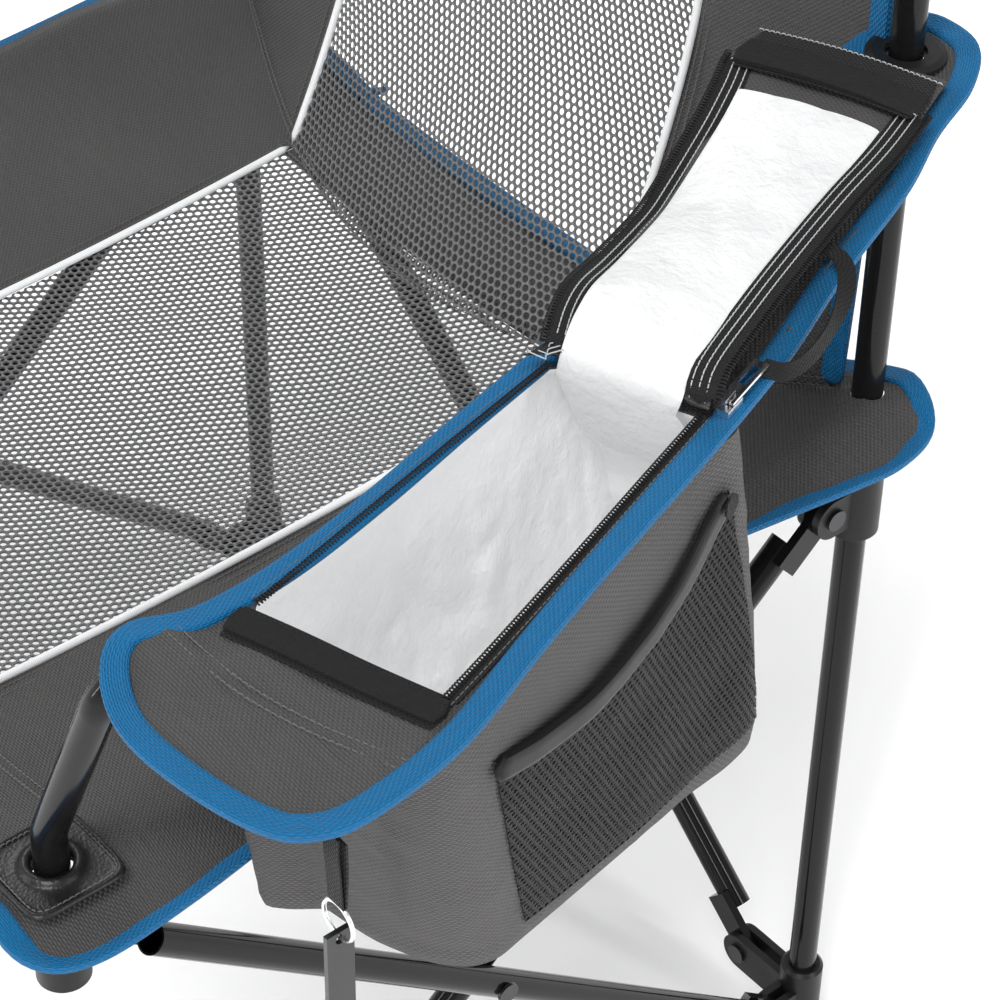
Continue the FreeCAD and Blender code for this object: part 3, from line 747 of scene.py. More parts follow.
COOLER_FLOOR = [(296, -145), (325, -140), (352, -134), (378, -121), (391, -104), (389, -77),
                (374, 22), (360, 82), (300, 84), (290, 78)]
BAG_DROP = 3.6
CUP_DROP, CUP_DEEP = 12.0, 125.0
LID_LEFT = [(302, -3, 645), (307, -6, 660), (300, 5, 668), (292, 20, 670), (281, 44, 665),
            (266, 80, 662), (256, 101, 663), (241, 137, 674), (232, 157, 682), (223, 174, 687),
            (213, 203, 687)]
LID_RIGHT = [(374, 19, 649), (379, 17, 660), (374, 27, 671), (362, 59, 676), (349, 94, 679),
             (332, 141, 681), (318, 184, 683), (298, 235, 688)]
ARM_FOLD = {"axis": (0, 0.872, 0.490), "keep": 0.143}
WIDTH_FOLD = {"axis": (1, 0, 0), "anchor": (HALF * MM, 0, 0), "keep": 0.358}


def ripple(x, y, height, size, seed=0.0):
    return height * noise.noise(Vector((x / size, y / size, seed)))


def seat_height(x, y):
    across = max(0.0, 1.0 - (abs(x) / (HALF + 10)) ** 2.6)
    along = max(0.0, 1.0 - (y / 300.0) ** 2)
    corner = SEAT_Z - SEAT_LIFT + 0.5 + SEAT_RISE * (y - FRONT) / (REAR - FRONT)
    curl = 0.45 * max(0.0, abs(x) - HALF - 5)
    return corner - SEAT_SAG * across * (0.55 + 0.45 * along) - curl


def back_depth(x, z):
    across = max(0.0, 1.0 - (abs(x) / (HALF - 3)) ** 2)
    rise = max(0.0, (z - BACK_LOW) / (BACK_TOP - BACK_LOW)) / 0.42
    bow = -95.0 * (1.0 - min(1.0, rise)) ** 1.6 + 8.0 * min(1.0, rise)
    return REAR + bow * across


def back_faces(x, z):
    """Which way the back sling faces at a point: towards the sitter."""
    slope_x = (back_depth(x + 1, z) - back_depth(x - 1, z)) / 2
    slope_z = (back_depth(x, z + 1) - back_depth(x, z - 1)) / 2
    return Vector((slope_x, -1, slope_z)).normalized()


def arm_top(y):
    return ARM_Z + ARM_SLOPE * (y - REAR)


ARM_FACES = Vector((0, -ARM_SLOPE, 1)).normalized()


def rounded(corners, radius, steps=6):
    """Knots round a polygon whose corners are rounded by about one radius."""
    result = []
    count = len(corners)
    for k in range(count):
        here = Vector(corners[k])
        before = (Vector(corners[k - 1]) - here).normalized() * radius
        after = (Vector(corners[(k + 1) % count]) - here).normalized() * radius
        for step in range(steps + 1):
            s = step / steps
            result.append(here + before * (1 - s) ** 2 + after * s * s)
    return result


def lifted(points, height):
    """Flat points put on a surface whose height is a function of x and y."""
    return [Vector((p[0], p[1], height(p[0], p[1]))) for p in points]


def planar(piece, across=0, along=1):
    """Lays the weave straight over a nearly flat piece: its UV is its own two flat axes."""
    mesh = piece.data
    layer = mesh.uv_layers[0]
    for loop in mesh.loops:
        spot = mesh.vertices[loop.vertex_index].co
        layer.data[loop.index].uv = (spot[across], spot[along])
    return piece


def sewn(piece, name, finish_name, body, nodes=(), thick=None,
         fold=None):
    """Finishes a sheet of cloth: thickness, smooth faces and ride, and its own mesh when given a fold. Its
    size as cut is worked out but not used.
    """
    area = cut_area(piece)
    width, length = across_of(piece)
    grow = max(1.0, math.sqrt(area / (width * length)) * 1.003)
    width, length = width * grow, length * grow
    thicken(piece, thick or cloth().cloth_thickness)
    smooth(piece, 50)
    finish(piece, name, FINISH[finish_name], body, nodes)
    crumple(piece, fold)
    return piece


def crumple(piece, fold):
    """Gives soft work its own copy of its mesh when a fold is given."""
    if fold:
        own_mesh(piece)
    return piece


def trim(piece, name, finish_name, body, fold=None, nodes=(), angle=50):
    smooth(piece, angle)
    finish(piece, name, FINISH[finish_name], body, nodes)
    return crumple(piece, fold)


def arm_fold(anchor_y=REAR):
    fold = dict(ARM_FOLD)
    fold["anchor"] = (0, anchor_y * MM, arm_top(anchor_y) * MM)
    return fold


def bag_fold():
    fold = dict(ARM_FOLD)
    fold["anchor"] = (0, 0.012, 0.662)
    return fold


# ---------------------------------------------------------------- seat
def seat_side_outline(count):
    knots = lifted(SIDE_OUTLINE, lambda x, y: 0.0)
    return [Vector((p.x, p.y, seat_height(p.x, p.y))) for p in curve_through(knots, count)]


def whole_seat_edge():
    side = seat_side_outline(190)
    rear = [Vector((x, SEAT_BACK, seat_height(x, SEAT_BACK))) for x in ACROSS[::-1]]
    other = [Vector((-p.x, p.y, p.z)) for p in reversed(side)]
    front = [Vector((x, SEAT_FRONT, seat_height(x, SEAT_FRONT))) for x in ACROSS]
    return evenly(side + rear + other + front + [side[0]], 520)


def make_seat():
    def middle_cloth(u, w):
        x = (u * 2 - 1) * PIPE_X
        y = SEAT_FRONT + w * (SEAT_SPLIT - SEAT_FRONT)
        puff = 1.5 * math.cos(u * 9.4) * math.sin(w * 7.0)
        return x, y, seat_height(x, y) + puff + ripple(x, y, 1.2, 45)

    mesh = planar(drape(46, 70, middle_cloth))
    sewn(mesh, "seat_sling", "mesh", "seat", ["seat_mesh"], fold=WIDTH_FOLD)

    def rear_cloth(u, w):
        x = (u * 2 - 1) * PIPE_X
        y = SEAT_SPLIT + 1 + w * (SEAT_BACK - SEAT_SPLIT - 1)
        return x, y, seat_height(x, y) + ripple(x, y, 1.4, 40, 3)

    sewn(planar(drape(40, 18, rear_cloth)), "seat_rear_strip", "canvas", "seat", fold=WIDTH_FOLD)
    outline = seat_side_outline(120)

    def side_cloth(u, w):
        k = round(w * 120)
        y = SEAT_FRONT + w * (SEAT_BACK - SEAT_FRONT)
        inner = Vector((PIPE_X, y, 0))
        spot = inner.lerp(outline[k], u)
        pull = math.exp(-((spot.x - HALF) ** 2 + (spot.y - REAR) ** 2) / 900.0)
        crease = 1.6 * pull * math.sin(spot.y / 5.0 + spot.x / 9.0)
        return spot.x, spot.y, seat_height(spot.x, spot.y) + ripple(spot.x, spot.y, 1.6, 38, 5) + crease

    side = planar(drape(30, 120, side_cloth))
    bore(side, HALF, REAR, POST_HOLE)
    bore(side, HALF, FRONT, 10.5)
    other = mirrored(side)
    sewn(side, "seat_panel_left", "canvas", "seat", ["seat_side_left"], fold=WIDTH_FOLD)
    sewn(other, "seat_panel_right", "canvas", "seat", ["seat_side_right"], fold=WIDTH_FOLD)
    edge = whole_seat_edge()
    trim(binding(edge, UP, closed=True), "seat_binding", "binding", "seat", WIDTH_FOLD)
    stitches = stitch_row(edge, UP, **ON_BINDING)
    trim(stitches, "seat_binding_stitches", "blue_thread", "seat", WIDTH_FOLD)
    cords, seams = [], []
    for sign in (-1, 1):
        crease = int(back_depth(PIPE_X, back_bottom(PIPE_X)))
        line = [Vector((sign * PIPE_X, y, seat_height(PIPE_X, y) + 1.6)) for y in range(-256, crease, 6)]
        cords.append(piping(line))
        for reach in SEAM_GAPS:
            row = [p + Vector((sign * reach, 0, -1.0)) for p in line]
            seams.append(stitch_row(row, UP, lift=0.55))
    for y in (172.0, 177.0):
        row = [Vector((x, y, seat_height(x, y))) for x in ACROSS]
        seams.append(stitch_row(row, UP, lift=1.4))
    for sign in (-1, 1):
        for y in (-212.0, -216.5):
            row = [Vector((sign * x, y, seat_height(x, y))) for x in range(150, 222, 6)]
            seams.append(stitch_row(row, UP, lift=1.3))
    trim(join(cords), "seat_piping", "piping", "seat", WIDTH_FOLD)
    trim(join(seams), "seat_seams", "thread", "seat", WIDTH_FOLD)


def patch_edge(angle, half):
    """A point on a rounded square round the corner patch's middle."""
    side, across = math.cos(angle), math.sin(angle)
    reach = half / (abs(side) ** 7 + abs(across) ** 7) ** (1 / 7)
    return Vector((PATCH.x + side * reach, PATCH.y + across * reach, 0))


def make_corner_patches():
    """Vinyl squares with a pressed rim and an eyelet that the front post stands in."""
    steps = [(0.0, 0.2), (0.02, 1.6), (0.07, 2.5), (0.13, 2.5), (0.18, 1.3), (0.24, 1.1), (0.5, 1.2),
             (0.62, 1.4), (0.68, 3.0), (0.75, 4.6), (0.84, 5.0), (0.93, 4.2), (1.0, 1.5)]

    def face(u, w):
        share, rise = steps[round(w * (len(steps) - 1))]
        angle = 2 * math.pi * u
        side, across = math.cos(angle), math.sin(angle)
        outer = patch_edge(angle, PATCH_HALF)
        inner = Vector((HALF + side * POST_HOLE, FRONT + across * POST_HOLE, 0))
        lip = Vector((HALF + side * 15.5, FRONT + across * 15.5, 0))
        if share < 0.6:
            spot = outer.lerp(lip, share / 0.62)
        else:
            spot = lip.lerp(inner, (share - 0.6) / 0.4)
        return spot.x, spot.y, SEAT_Z + rise * 0.82

    patch = drape(96, len(steps) - 1, face, around=True)
    outward(patch)
    thicken(patch, cloth().cloth_thickness)
    apply(patch, "SUBSURF", levels=1, render_levels=1)
    ring = [patch_edge(2 * math.pi * k / 120, PATCH_SEAM) + UP * (SEAT_Z + 1.1) for k in range(120)]
    row = stitch_row(ring + [ring[0]], UP, lift=0.8, radius=0.35, pitch=3.0)
    for name, piece, seam in (("left", patch, row), ("right", mirrored(patch), mirrored(row))):
        trim(piece, "corner_vinyl_" + name, "vinyl", "seat", WIDTH_FOLD,
             ["corner_patch_" + name])
        trim(seam, "corner_stitches_" + name, "thread", "seat", WIDTH_FOLD)


# ---------------------------------------------------------------- back
def back_point(x, z, off=0.0):
    return Vector((x, back_depth(x, z), z)) + back_faces(x, z) * off


def back_bottom(x):
    """The height where the back sling comes down onto the seat."""
    z = 460.0
    for _ in range(12):
        z = (z + seat_height(x, back_depth(x, z)) + 1.0) / 2
    return z


def make_back():
    top = BACK_TOP - 1

    def middle_cloth(u, w):
        x = (u * 2 - 1) * PIPE_X
        z = back_bottom(x) + (top - back_bottom(x)) * w
        return back_point(x, z, ripple(x, z, 2.2, 60, 9) + 1.2 * math.cos(u * 9.4))

    mesh = planar(drape(44, 84, middle_cloth), 0, 2)
    sewn(mesh, "back_sling", "mesh", "left_rear", ["back_mesh"], fold=WIDTH_FOLD)

    def side_cloth(u, w):
        x = PIPE_X + u * (BACK_HALF - PIPE_X)
        low = back_bottom(x)
        z = low + (top - low) * w
        puff = ripple(x, z, 2.4, 42, 11) * (1 - 0.8 * u)
        return back_point(x, z, puff)

    def sleeve_cloth(u, w):
        angle = 2 * math.pi * u
        z = SLEEVE_LOW + (top - SLEEVE_LOW) * w
        reach = 11.4 + ripple(angle * 6, z, 0.9, 12, 2)
        return HALF + reach * math.cos(angle), REAR + reach * math.sin(angle), z

    side = planar(drape(24, 90, side_cloth), 0, 2)
    sleeve = drape(28, 40, sleeve_cloth, around=True)
    other, other_sleeve = mirrored(side), mirrored(sleeve)
    for name, piece, tube in (("left", side, sleeve), ("right", other, other_sleeve)):
        sewn(piece, "back_panel_" + name, "canvas", "left_rear", ["back_side_" + name], fold=WIDTH_FOLD)
        body = "left_rear" if name == "left" else "right_rear"
        sewn(tube, "back_sleeve_" + name, "canvas", body)
    edges, threads, cords, seams = [], [], [], []
    reach = int(BACK_HALF)
    line = [back_point(x, top) for x in range(reach, -reach - 1, -6)]
    faces = [back_faces(p.x, p.z) for p in line]
    edges.append(binding(line, faces))
    threads.append(stitch_row(line, faces, **ON_BINDING))
    line = [back_point(x, back_bottom(x), 1.2) for x in range(-reach, reach + 1, 6)]
    faces = [back_faces(p.x, p.z) for p in line]
    for gap in (2.0, 6.5):
        seams.append(stitch_row(line, faces, side=gap, lift=0.6))
    for sign in (-1, 1):
        zs = range(int(back_bottom(reach)), int(top) + 1, 6)
        line = [back_point(sign * reach, z) for z in (zs if sign > 0 else reversed(zs))]
        faces = [back_faces(p.x, p.z) for p in line]
        edges.append(binding(line, faces))
        threads.append(stitch_row(line, faces, **ON_BINDING))
        zs = range(int(back_bottom(PIPE_X)), int(top) - 4, 6)
        line = [back_point(sign * PIPE_X, z, 1.6) for z in zs]
        cords.append(piping(line, Vector((0, -1, 0))))
        for gap in SEAM_GAPS:
            row = [back_point(sign * (PIPE_X + gap), z, 0.0) for z in zs]
            seams.append(stitch_row(row, [back_faces(p.x, p.z) for p in row], lift=1.2))
    trim(join(edges), "back_binding", "binding", "left_rear", WIDTH_FOLD)
    trim(join(threads), "back_binding_stitches", "blue_thread", "left_rear", WIDTH_FOLD)
    trim(join(cords), "back_piping", "piping", "left_rear", WIDTH_FOLD)
    trim(join(seams), "back_seams", "thread", "left_rear", WIDTH_FOLD)


# ---------------------------------------------------------------- arms
def on_arm_at(spot, lift=0.0):
    return Vector((spot.x, spot.y, arm_top(spot.y) + lift))


def flat_curve(knots, count):
    return curve_through([(p[0], p[1], 0) for p in knots], count, closed=True)


def mouth_ring(count):
    return flat_curve(rounded([Vector((x, y, 0)) for x, y in MOUTH], MOUTH_ROUND), count)


def round_ring(x, y, radius, count, way=1):
    """Points round a flat circle, the first one again at the end."""
    turns = [way * 2 * math.pi * k / count for k in range(count + 1)]
    return [Vector((x + radius * math.cos(turn), y + radius * math.sin(turn), 0)) for turn in turns]


def arm_sheet(hole):
    """The arm's cloth, from its outline in to a closed hole."""
    count = 320
    outer = flat_curve(ARM_OUTLINE, count)
    inner = []
    for p in outer:
        inner.append(min(hole, key=lambda q: (q - p).length_squared))
    inner = settle(inner, hole)

    def place(u, w):
        k = round(u * count) % count
        spot = outer[k].lerp(inner[k], w)
        room = min(1.0, (outer[k] - inner[k]).length / 60.0) ** 2
        crown = (1.4 + ripple(spot.x, spot.y, 3.4, 24, 21)) * math.sin(math.pi * w) * room
        return spot.x, spot.y, arm_top(spot.y) + crown

    return planar(drape(count, 26, place, around=True))


def settle(inner, hole):
    """Spreads the points that fell together on the hole's corners."""
    total = len(hole) - 1
    places = [min(range(total), key=lambda k: (hole[k] - p).length_squared) for p in inner]
    unrolled = [float(places[0])]
    for here in places[1:]:
        step = (here - unrolled[-1] + total / 2) % total - total / 2
        unrolled.append(unrolled[-1] + step)
    count = len(unrolled) - 1
    turn = unrolled[-1] - unrolled[0]
    for _ in range(60):
        unrolled = [unrolled[0]] + [
            (unrolled[k - 1] + unrolled[k] + unrolled[k + 1]) / 3 for k in range(1, count)] + [unrolled[-1]]
    result = []
    for spot in unrolled:
        spot = spot % total
        low = int(spot)
        result.append(hole[low].lerp(hole[(low + 1) % total], spot - low))
    if turn:
        result[-1] = result[0]
    return result


def make_arms():
    mouth = mouth_ring(300)
    ring = round_ring(-CUP.x, CUP.y, CUP_RADIUS + 3.5, 300)
    left, right = arm_sheet(mouth), mirrored(arm_sheet(ring), keep=False)
    outline = flat_curve(ARM_OUTLINE, 330)
    edge = [on_arm_at(p) for p in outline]
    tape = binding(edge, ARM_FACES, closed=True)
    thread = stitch_row(edge, ARM_FACES, side=8.0, lift=1.8, radius=0.4)
    front_seam = ((313, -206), (352, -205), (388, -198), (430, -184))
    rear_seam = ((292, 60), (281, 110), (268, 165), (256, 205))
    seams = [on_arm([(x, y + gap) for x, y in front_seam], 1.2, 40) for gap in (0.0, 5.0)]
    seams += [on_arm([(x + gap, y) for x, y in rear_seam], 1.2, 40) for gap in (0.0, 5.0)]
    seam = join([stitch_row(row, ARM_FACES, lift=0.9) for row in seams])
    sides = (("left", left, tape, thread, seam),
             ("right", right, mirrored(tape), mirrored(thread), mirrored(seam)))
    for name, piece, edging, stitches, rows in sides:
        body = name + "_rear"
        bore(piece, HALF if name == "left" else -HALF, REAR, POST_HOLE)
        sewn(piece, "arm_cloth_" + name, "canvas", body, ["arm_panel_" + name], fold=arm_fold())
        trim(edging, "arm_binding_" + name, "binding", body, arm_fold())
        trim(stitches, "arm_binding_stitches_" + name, "blue_thread", body, arm_fold())
        trim(rows, "arm_seams_" + name, "thread", body, arm_fold())


def make_cup_holder():
    cx, cy, top = CUP.x, CUP.y, arm_top(CUP.y)
    radius = CUP_RADIUS

    def wall(u, w):
        angle = 2 * math.pi * u
        deep = top - CUP_DROP - w * (CUP_DEEP + radius)
        if w * (CUP_DEEP + radius) > CUP_DEEP:
            share = (w * (CUP_DEEP + radius) - CUP_DEEP) / radius
            reach = max(radius * (1 - share), 0.0)
            deep = top - CUP_DROP - CUP_DEEP + 0.5 + 3.0 * math.exp(-((1 - share) * 9) ** 2)
        else:
            reach = radius * (1 - 0.03 * math.sin(math.pi * min(w * 1.35, 1.0)))
        return cx + reach * math.cos(angle), cy + reach * math.sin(angle), deep

    net = drape(72, 56, wall, around=True)
    outward(net)
    sewn(net, "cup_net", "pocket", "right_rear", ["cup_holder"], NET_THICK, arm_fold())
    profile = [(0.0, 1.2), (3.2, 1.0), (3.4, -6), (3.2, -17), (1.9, -18), (1.0, -17), (1.1, -6), (0.0, 0)]
    circle = [p + UP * top for p in round_ring(cx, cy, radius + 3.5, 96, -1)]
    band = swept(circle, [(-side, lift) for side, lift in profile], UP, closed=True)
    trim(band, "cup_band", "canvas", "right_rear", arm_fold(), ["cup_rim"])
    circle = [on_arm_at(p) for p in reversed(circle)]
    tape = binding(circle[::-1], ARM_FACES, closed=True)
    trim(tape, "cup_binding", "binding", "right_rear", arm_fold())


# ---------------------------------------------------------------- cooler
def bag_rings(inward, shares, count):
    """Rounded rings of the bag from its rim to its floor, drawn in by a distance."""
    rings = []
    for share in shares:
        knots = []
        for (xt, yt), (xf, yf) in zip(COOLER_TOP, COOLER_FLOOR):
            high = Vector((xt, yt, arm_top(yt) - BAG_DROP))
            low = Vector((xf, yf, BAG_FLOOR))
            knots.append(low.lerp(high, share))
        ring = curve_through(knots, count, closed=True)
        ways = along_path(ring, closed=True)
        rings.append([p + UP.cross(way) * inward for p, way in zip(ring, ways)])
    return rings


def bag_surface(count, inward, crease, seed):
    """Rows of points down the bag's wall, round its bottom edge and in over its floor."""
    turn = 15.0
    shares = [1.0 - k / 40 for k in range(41)]
    rings = bag_rings(inward, shares, count)
    rows = []
    for share, ring in zip(shares, rings):
        row = []
        centre = sum(ring, Vector()) / len(ring)
        for k, p in enumerate(ring):
            out = Vector((p.x - centre.x, p.y - centre.y, 0)).normalized()
            angle = 2 * math.pi * k / count
            loop = Vector((math.cos(angle), math.sin(angle), 0))
            belly = math.sin(math.pi * share) ** 0.8
            broad = noise.noise(loop * 2.2 + Vector((0, 0, share * 3.0 + seed)))
            fine = 1 - abs(noise.noise(loop * 6.0 + Vector((3, 0, share * 7.0 + seed))) * 2)
            swell = 2.0 * belly + crease * belly * (broad + 0.55 * fine)
            row.append(p + out * swell)
        rows.append(row)
    base = rows[-1]
    centre = sum(base, Vector()) / len(base)
    rows = [row for row in rows if row[0].z > BAG_FLOOR + turn]
    steps = [(0.0, 1.0), (0.12, 0.62), (0.32, 0.28), (0.62, 0.07), (1.0, 0.0)]
    start = rows[-1]
    for share, lift in steps[1:]:
        row = []
        for p, q in zip(start, base):
            pulled = q.lerp(centre, 13.0 / max((q - centre).length, 14.0) * share)
            spot = p.lerp(pulled, share)
            row.append(Vector((spot.x, spot.y, BAG_FLOOR + inward * 1.1 + (p.z - BAG_FLOOR) * lift)))
        rows.append(row)
    last = rows[-1]
    for share in (0.3, 0.6, 0.85, 1.0):
        rows.append([p.lerp(Vector((centre.x, centre.y, p.z)), share)
                     + UP * crease * 0.7 * noise.noise(Vector((p.x / 18, p.y / 18, share * 2 + seed)))
                     * (1 - share) for p in last])
    return rows


def skin(rows):
    """A closed cloth through rings of points, from the first row to the last."""
    count, last = len(rows[0]) - 1, len(rows) - 1
    return drape(count, last, lambda u, w: rows[round(w * last)][round(u * count)], around=True)


def make_cooler():
    shell = skin(bag_surface(200, 0.0, 1.7, BAG_SEED))
    outward(shell)
    sewn(shell, "cooler_bag", "bag", "cooler", ["cooler_shell"], BAG_THICK,
         bag_fold())
    mouth = mouth_ring(LINING_POINTS)
    rows = bag_surface(LINING_POINTS, 8.0, 5.4, 8.0)
    top = [on_arm_at(p, -0.8) for p in mouth]
    first = rows[0]
    shift = min(range(LINING_POINTS), key=lambda k: (first[k] - top[0]).length)
    rows = [row[shift:-1] + row[:shift + 1] for row in rows]
    neck = []
    for share in (0.0, 0.25, 0.55, 0.85):
        ring = [a.lerp(b, share ** 1.5) - UP * (share * 9.0) for a, b in zip(top, rows[0])]
        neck.append(ring)
    rows = neck + rows[2:]
    lining = skin(rows)
    apply(lining, "SUBSURF", levels=1, render_levels=1)
    outward(lining)
    sewn(lining, "cooler_film", "lining", "cooler", ["cooler_lining"], FILM_THICK,
         bag_fold())


def coil(path, up, side, lift):
    """A zipper's coiled teeth along a path."""
    pitch, wire, reach = 1.6, 0.42, 1.5
    turns = max(4, round(lengths(path)[-1] / pitch))
    fine = evenly(path, turns * 8)
    ways = along_path(fine)
    points = []
    for k, (point, way) in enumerate(zip(fine, ways)):
        inward = up.cross(way).normalized()
        angle = 2 * math.pi * k / 8
        points.append(point + inward * (side + reach * math.cos(angle)) + up * (lift + 0.9 * math.sin(angle)))
    return swept(points, round_profile(wire, 5), up)


def flat_tape(path, up, wide, lift, thick=0.7, side=0.0):
    profile = [(side, lift), (side, lift + thick), (side + wide, lift + thick), (side + wide, lift)]
    return swept(path, profile, up)


def on_arm(knots, lift, count=60):
    """A smooth line through flat knots, laid on the arm and lifted off it."""
    return [on_arm_at(p, lift) for p in curve_through([(x, y, 0) for x, y in knots], count)]


def make_closures():
    """Zipper tapes with coiled teeth round the mouth, and the loop strip before it."""
    outer = on_arm([(419, -151), (411, -118), (398, -68), (385, -20), (374, 21)], 1.2)
    inner = on_arm([(301, -3), (306, -45), (312, -90), (318, -135), (323, -172)], 1.2)
    tapes, teeth, rows = [], [], []
    for line in (outer, inner):
        tapes.append(flat_tape(line, ARM_FACES, 5.4, 0.0, side=-2.6))
        teeth.append(coil(line, ARM_FACES, 2.6, 1.0))
        rows.append(stitch_row(line, ARM_FACES, side=-1.2, lift=0.9, radius=0.26, pitch=3.0))
    front = on_arm([(322, -178), (352, -169), (385, -160), (421, -149)], 1.2)
    tapes.append(flat_tape(front, ARM_FACES, 17.0, 0.0, side=-15.0))
    trim(join(tapes), "mouth_tapes", "tape", "cooler", bag_fold())
    trim(join(teeth), "mouth_teeth", "nylon", "cooler", bag_fold())
    trim(join(rows), "mouth_stitches", "thread", "cooler", bag_fold())
    strip = flat_tape(front, ARM_FACES, 12.0, 1.0, 1.7, side=-12.6)
    trim(strip, "loop_strip", "pile", "cooler", bag_fold(), ["closure_strip"])


def lid_point(u, w, left, right, lift):
    k = round(w * (len(left) - 1))
    spot = left[k].lerp(right[k], u)
    crown = 4.0 * math.sin(math.pi * u) * math.sin(math.pi * min(1.0, w * 1.1)) * 0.6
    return spot + UP * (crown + lift)


def make_lid():
    count = 60
    left = curve_through(LID_LEFT, count)
    right = curve_through(LID_RIGHT, count)

    def pad_face(u, w):
        """One closed skin: out over the top of the pad and back under it."""
        turn = u * 2.0
        share = turn if turn <= 1.0 else 2.0 - turn
        over = turn <= 1.0
        swell = (0.35 + 2.3 * math.sin(math.pi * share) ** 0.4) * (1.0 if 0 < w < 1 else 0.3)
        wrinkle = ripple(share * 90, w * 220, 1.2, 26, 31)
        w = 0.05 + 0.95 * w
        return lid_point(share, w, left, right, wrinkle * (1 if over else 0.3) + (swell if over else -swell))

    pad = drape(64, count, pad_face, around=True)
    close_ends(pad)
    outward(pad)
    smooth(pad, 60)
    finish(pad, "lid_pad", FINISH["canvas"], "lid", ["cooler_lid"])
    crumple(pad, bag_fold())

    def film(u, along, buried):
        """The white film: over the pad by its share along the lid, or buried down in the bag."""
        share = 0.10 - 0.07 * buried + (0.77 + 0.14 * buried) * u
        k = along * count
        low = int(k)
        a = left[low].lerp(left[low + 1], k - low)
        b = right[low].lerp(right[low + 1], k - low)
        lean = max(0.0, 1.0 - along / 0.15)
        out = (UP * (1.0 - lean) + Vector((-0.3, -0.95, 0.2)) * lean).normalized()
        inner = math.sin(math.pi * u) ** 0.5
        crown = 2.4 * math.sin(math.pi * share) * math.sin(math.pi * min(1.0, along * 1.1))
        fold = abs(noise.noise(Vector((share * 3.0, along * 6.0, 2)))) * 2.4
        tuck = Vector((5.0, 20.0, -44.0)) * buried ** 1.5
        return a.lerp(b, share) + UP * crown + tuck + out * (3.0 + (2.2 + fold) * inner)

    white = drape(60, 110, lambda u, w: film(u, 0.80 * w, 0.0))
    apron = drape(60, 16, lambda u, w: film(u, 0.0, 1.0 - w))
    sewn(apron, "hinge_film", "lid_film", "cooler", (), FILM_THICK, bag_fold())
    sewn(white, "lid_film", "lid_film", "lid", (), FILM_THICK, bag_fold())
    tapes, rows, teeth = [], [], []
    over = [Vector((p.x, p.y, p.z + 1.6)) for p in left]
    far = [Vector((p.x, p.y, p.z + 1.6)) for p in right]
    cut = int(count * 0.9)
    for line in (over[2:cut][::-1], far[3:cut]):
        tapes.append(flat_tape(line, UP, 13.0, 0.6, side=-2.0, thick=0.8))
        teeth.append(coil(line, UP, -3.2, 1.2))
        for gap in (2.0, 5.5, 9.0):
            rows.append(stitch_row(line, UP, side=gap, lift=1.9, radius=0.3, pitch=2.8))
    end_left, end_right = over[-3], far[-3]
    end = [end_right.lerp(end_left, k / 30) + UP * (2.4 * math.sin(math.pi * k / 30)) for k in range(31)]
    inner_end = [far[-9].lerp(over[-9], k / 30) + UP * (3.0 * math.sin(math.pi * k / 30)) for k in range(31)]
    tapes.append(flat_tape(end, UP, 34.0, 0.8, 0.8, side=-3.0))
    for gap in (-1.5, 27.5):
        rows.append(stitch_row(end, UP, side=gap, lift=2.2, radius=0.3, pitch=2.8))
    hook = flat_tape(inner_end, UP, 19.0, 2.6, 2.2, side=-14.0)
    trim(join(tapes), "lid_tapes", "tape", "lid", bag_fold())
    trim(join(rows), "lid_stitches", "pale_thread", "lid", bag_fold())
    trim(join(teeth), "lid_teeth", "nylon", "lid", bag_fold())
    trim(hook, "hook_strip", "pile", "lid", bag_fold())


def close_ends(piece):
    """Fills the open ends of a tube of faces."""
    only(piece)
    bpy.ops.object.mode_set(mode="EDIT")
    bpy.ops.mesh.select_all(action="DESELECT")
    bpy.ops.mesh.select_non_manifold()
    bpy.ops.mesh.fill_holes(sides=0)
    bpy.ops.object.mode_set(mode="OBJECT")


def pocket_span(ring):
    """Where along a ring of the bag the pocket starts and ends, front to rear."""
    outer = [k for k in range(len(ring) - 1) if ring[k].x > 360]
    front = min(outer, key=lambda k: (ring[k] - Vector((411, -112, ring[k].z))).length)
    back = min(outer, key=lambda k: (ring[k] - Vector((376, 50, ring[k].z))).length)
    return front, back


def below(column, rim):
    """A rising line of points cut off at a height."""
    kept = [p for p in column if p.z < rim]
    if len(kept) == len(column):
        return kept
    last, following = column[len(kept) - 1], column[len(kept)]
    return kept + [last.lerp(following, (rim - last.z) / (following.z - last.z))]


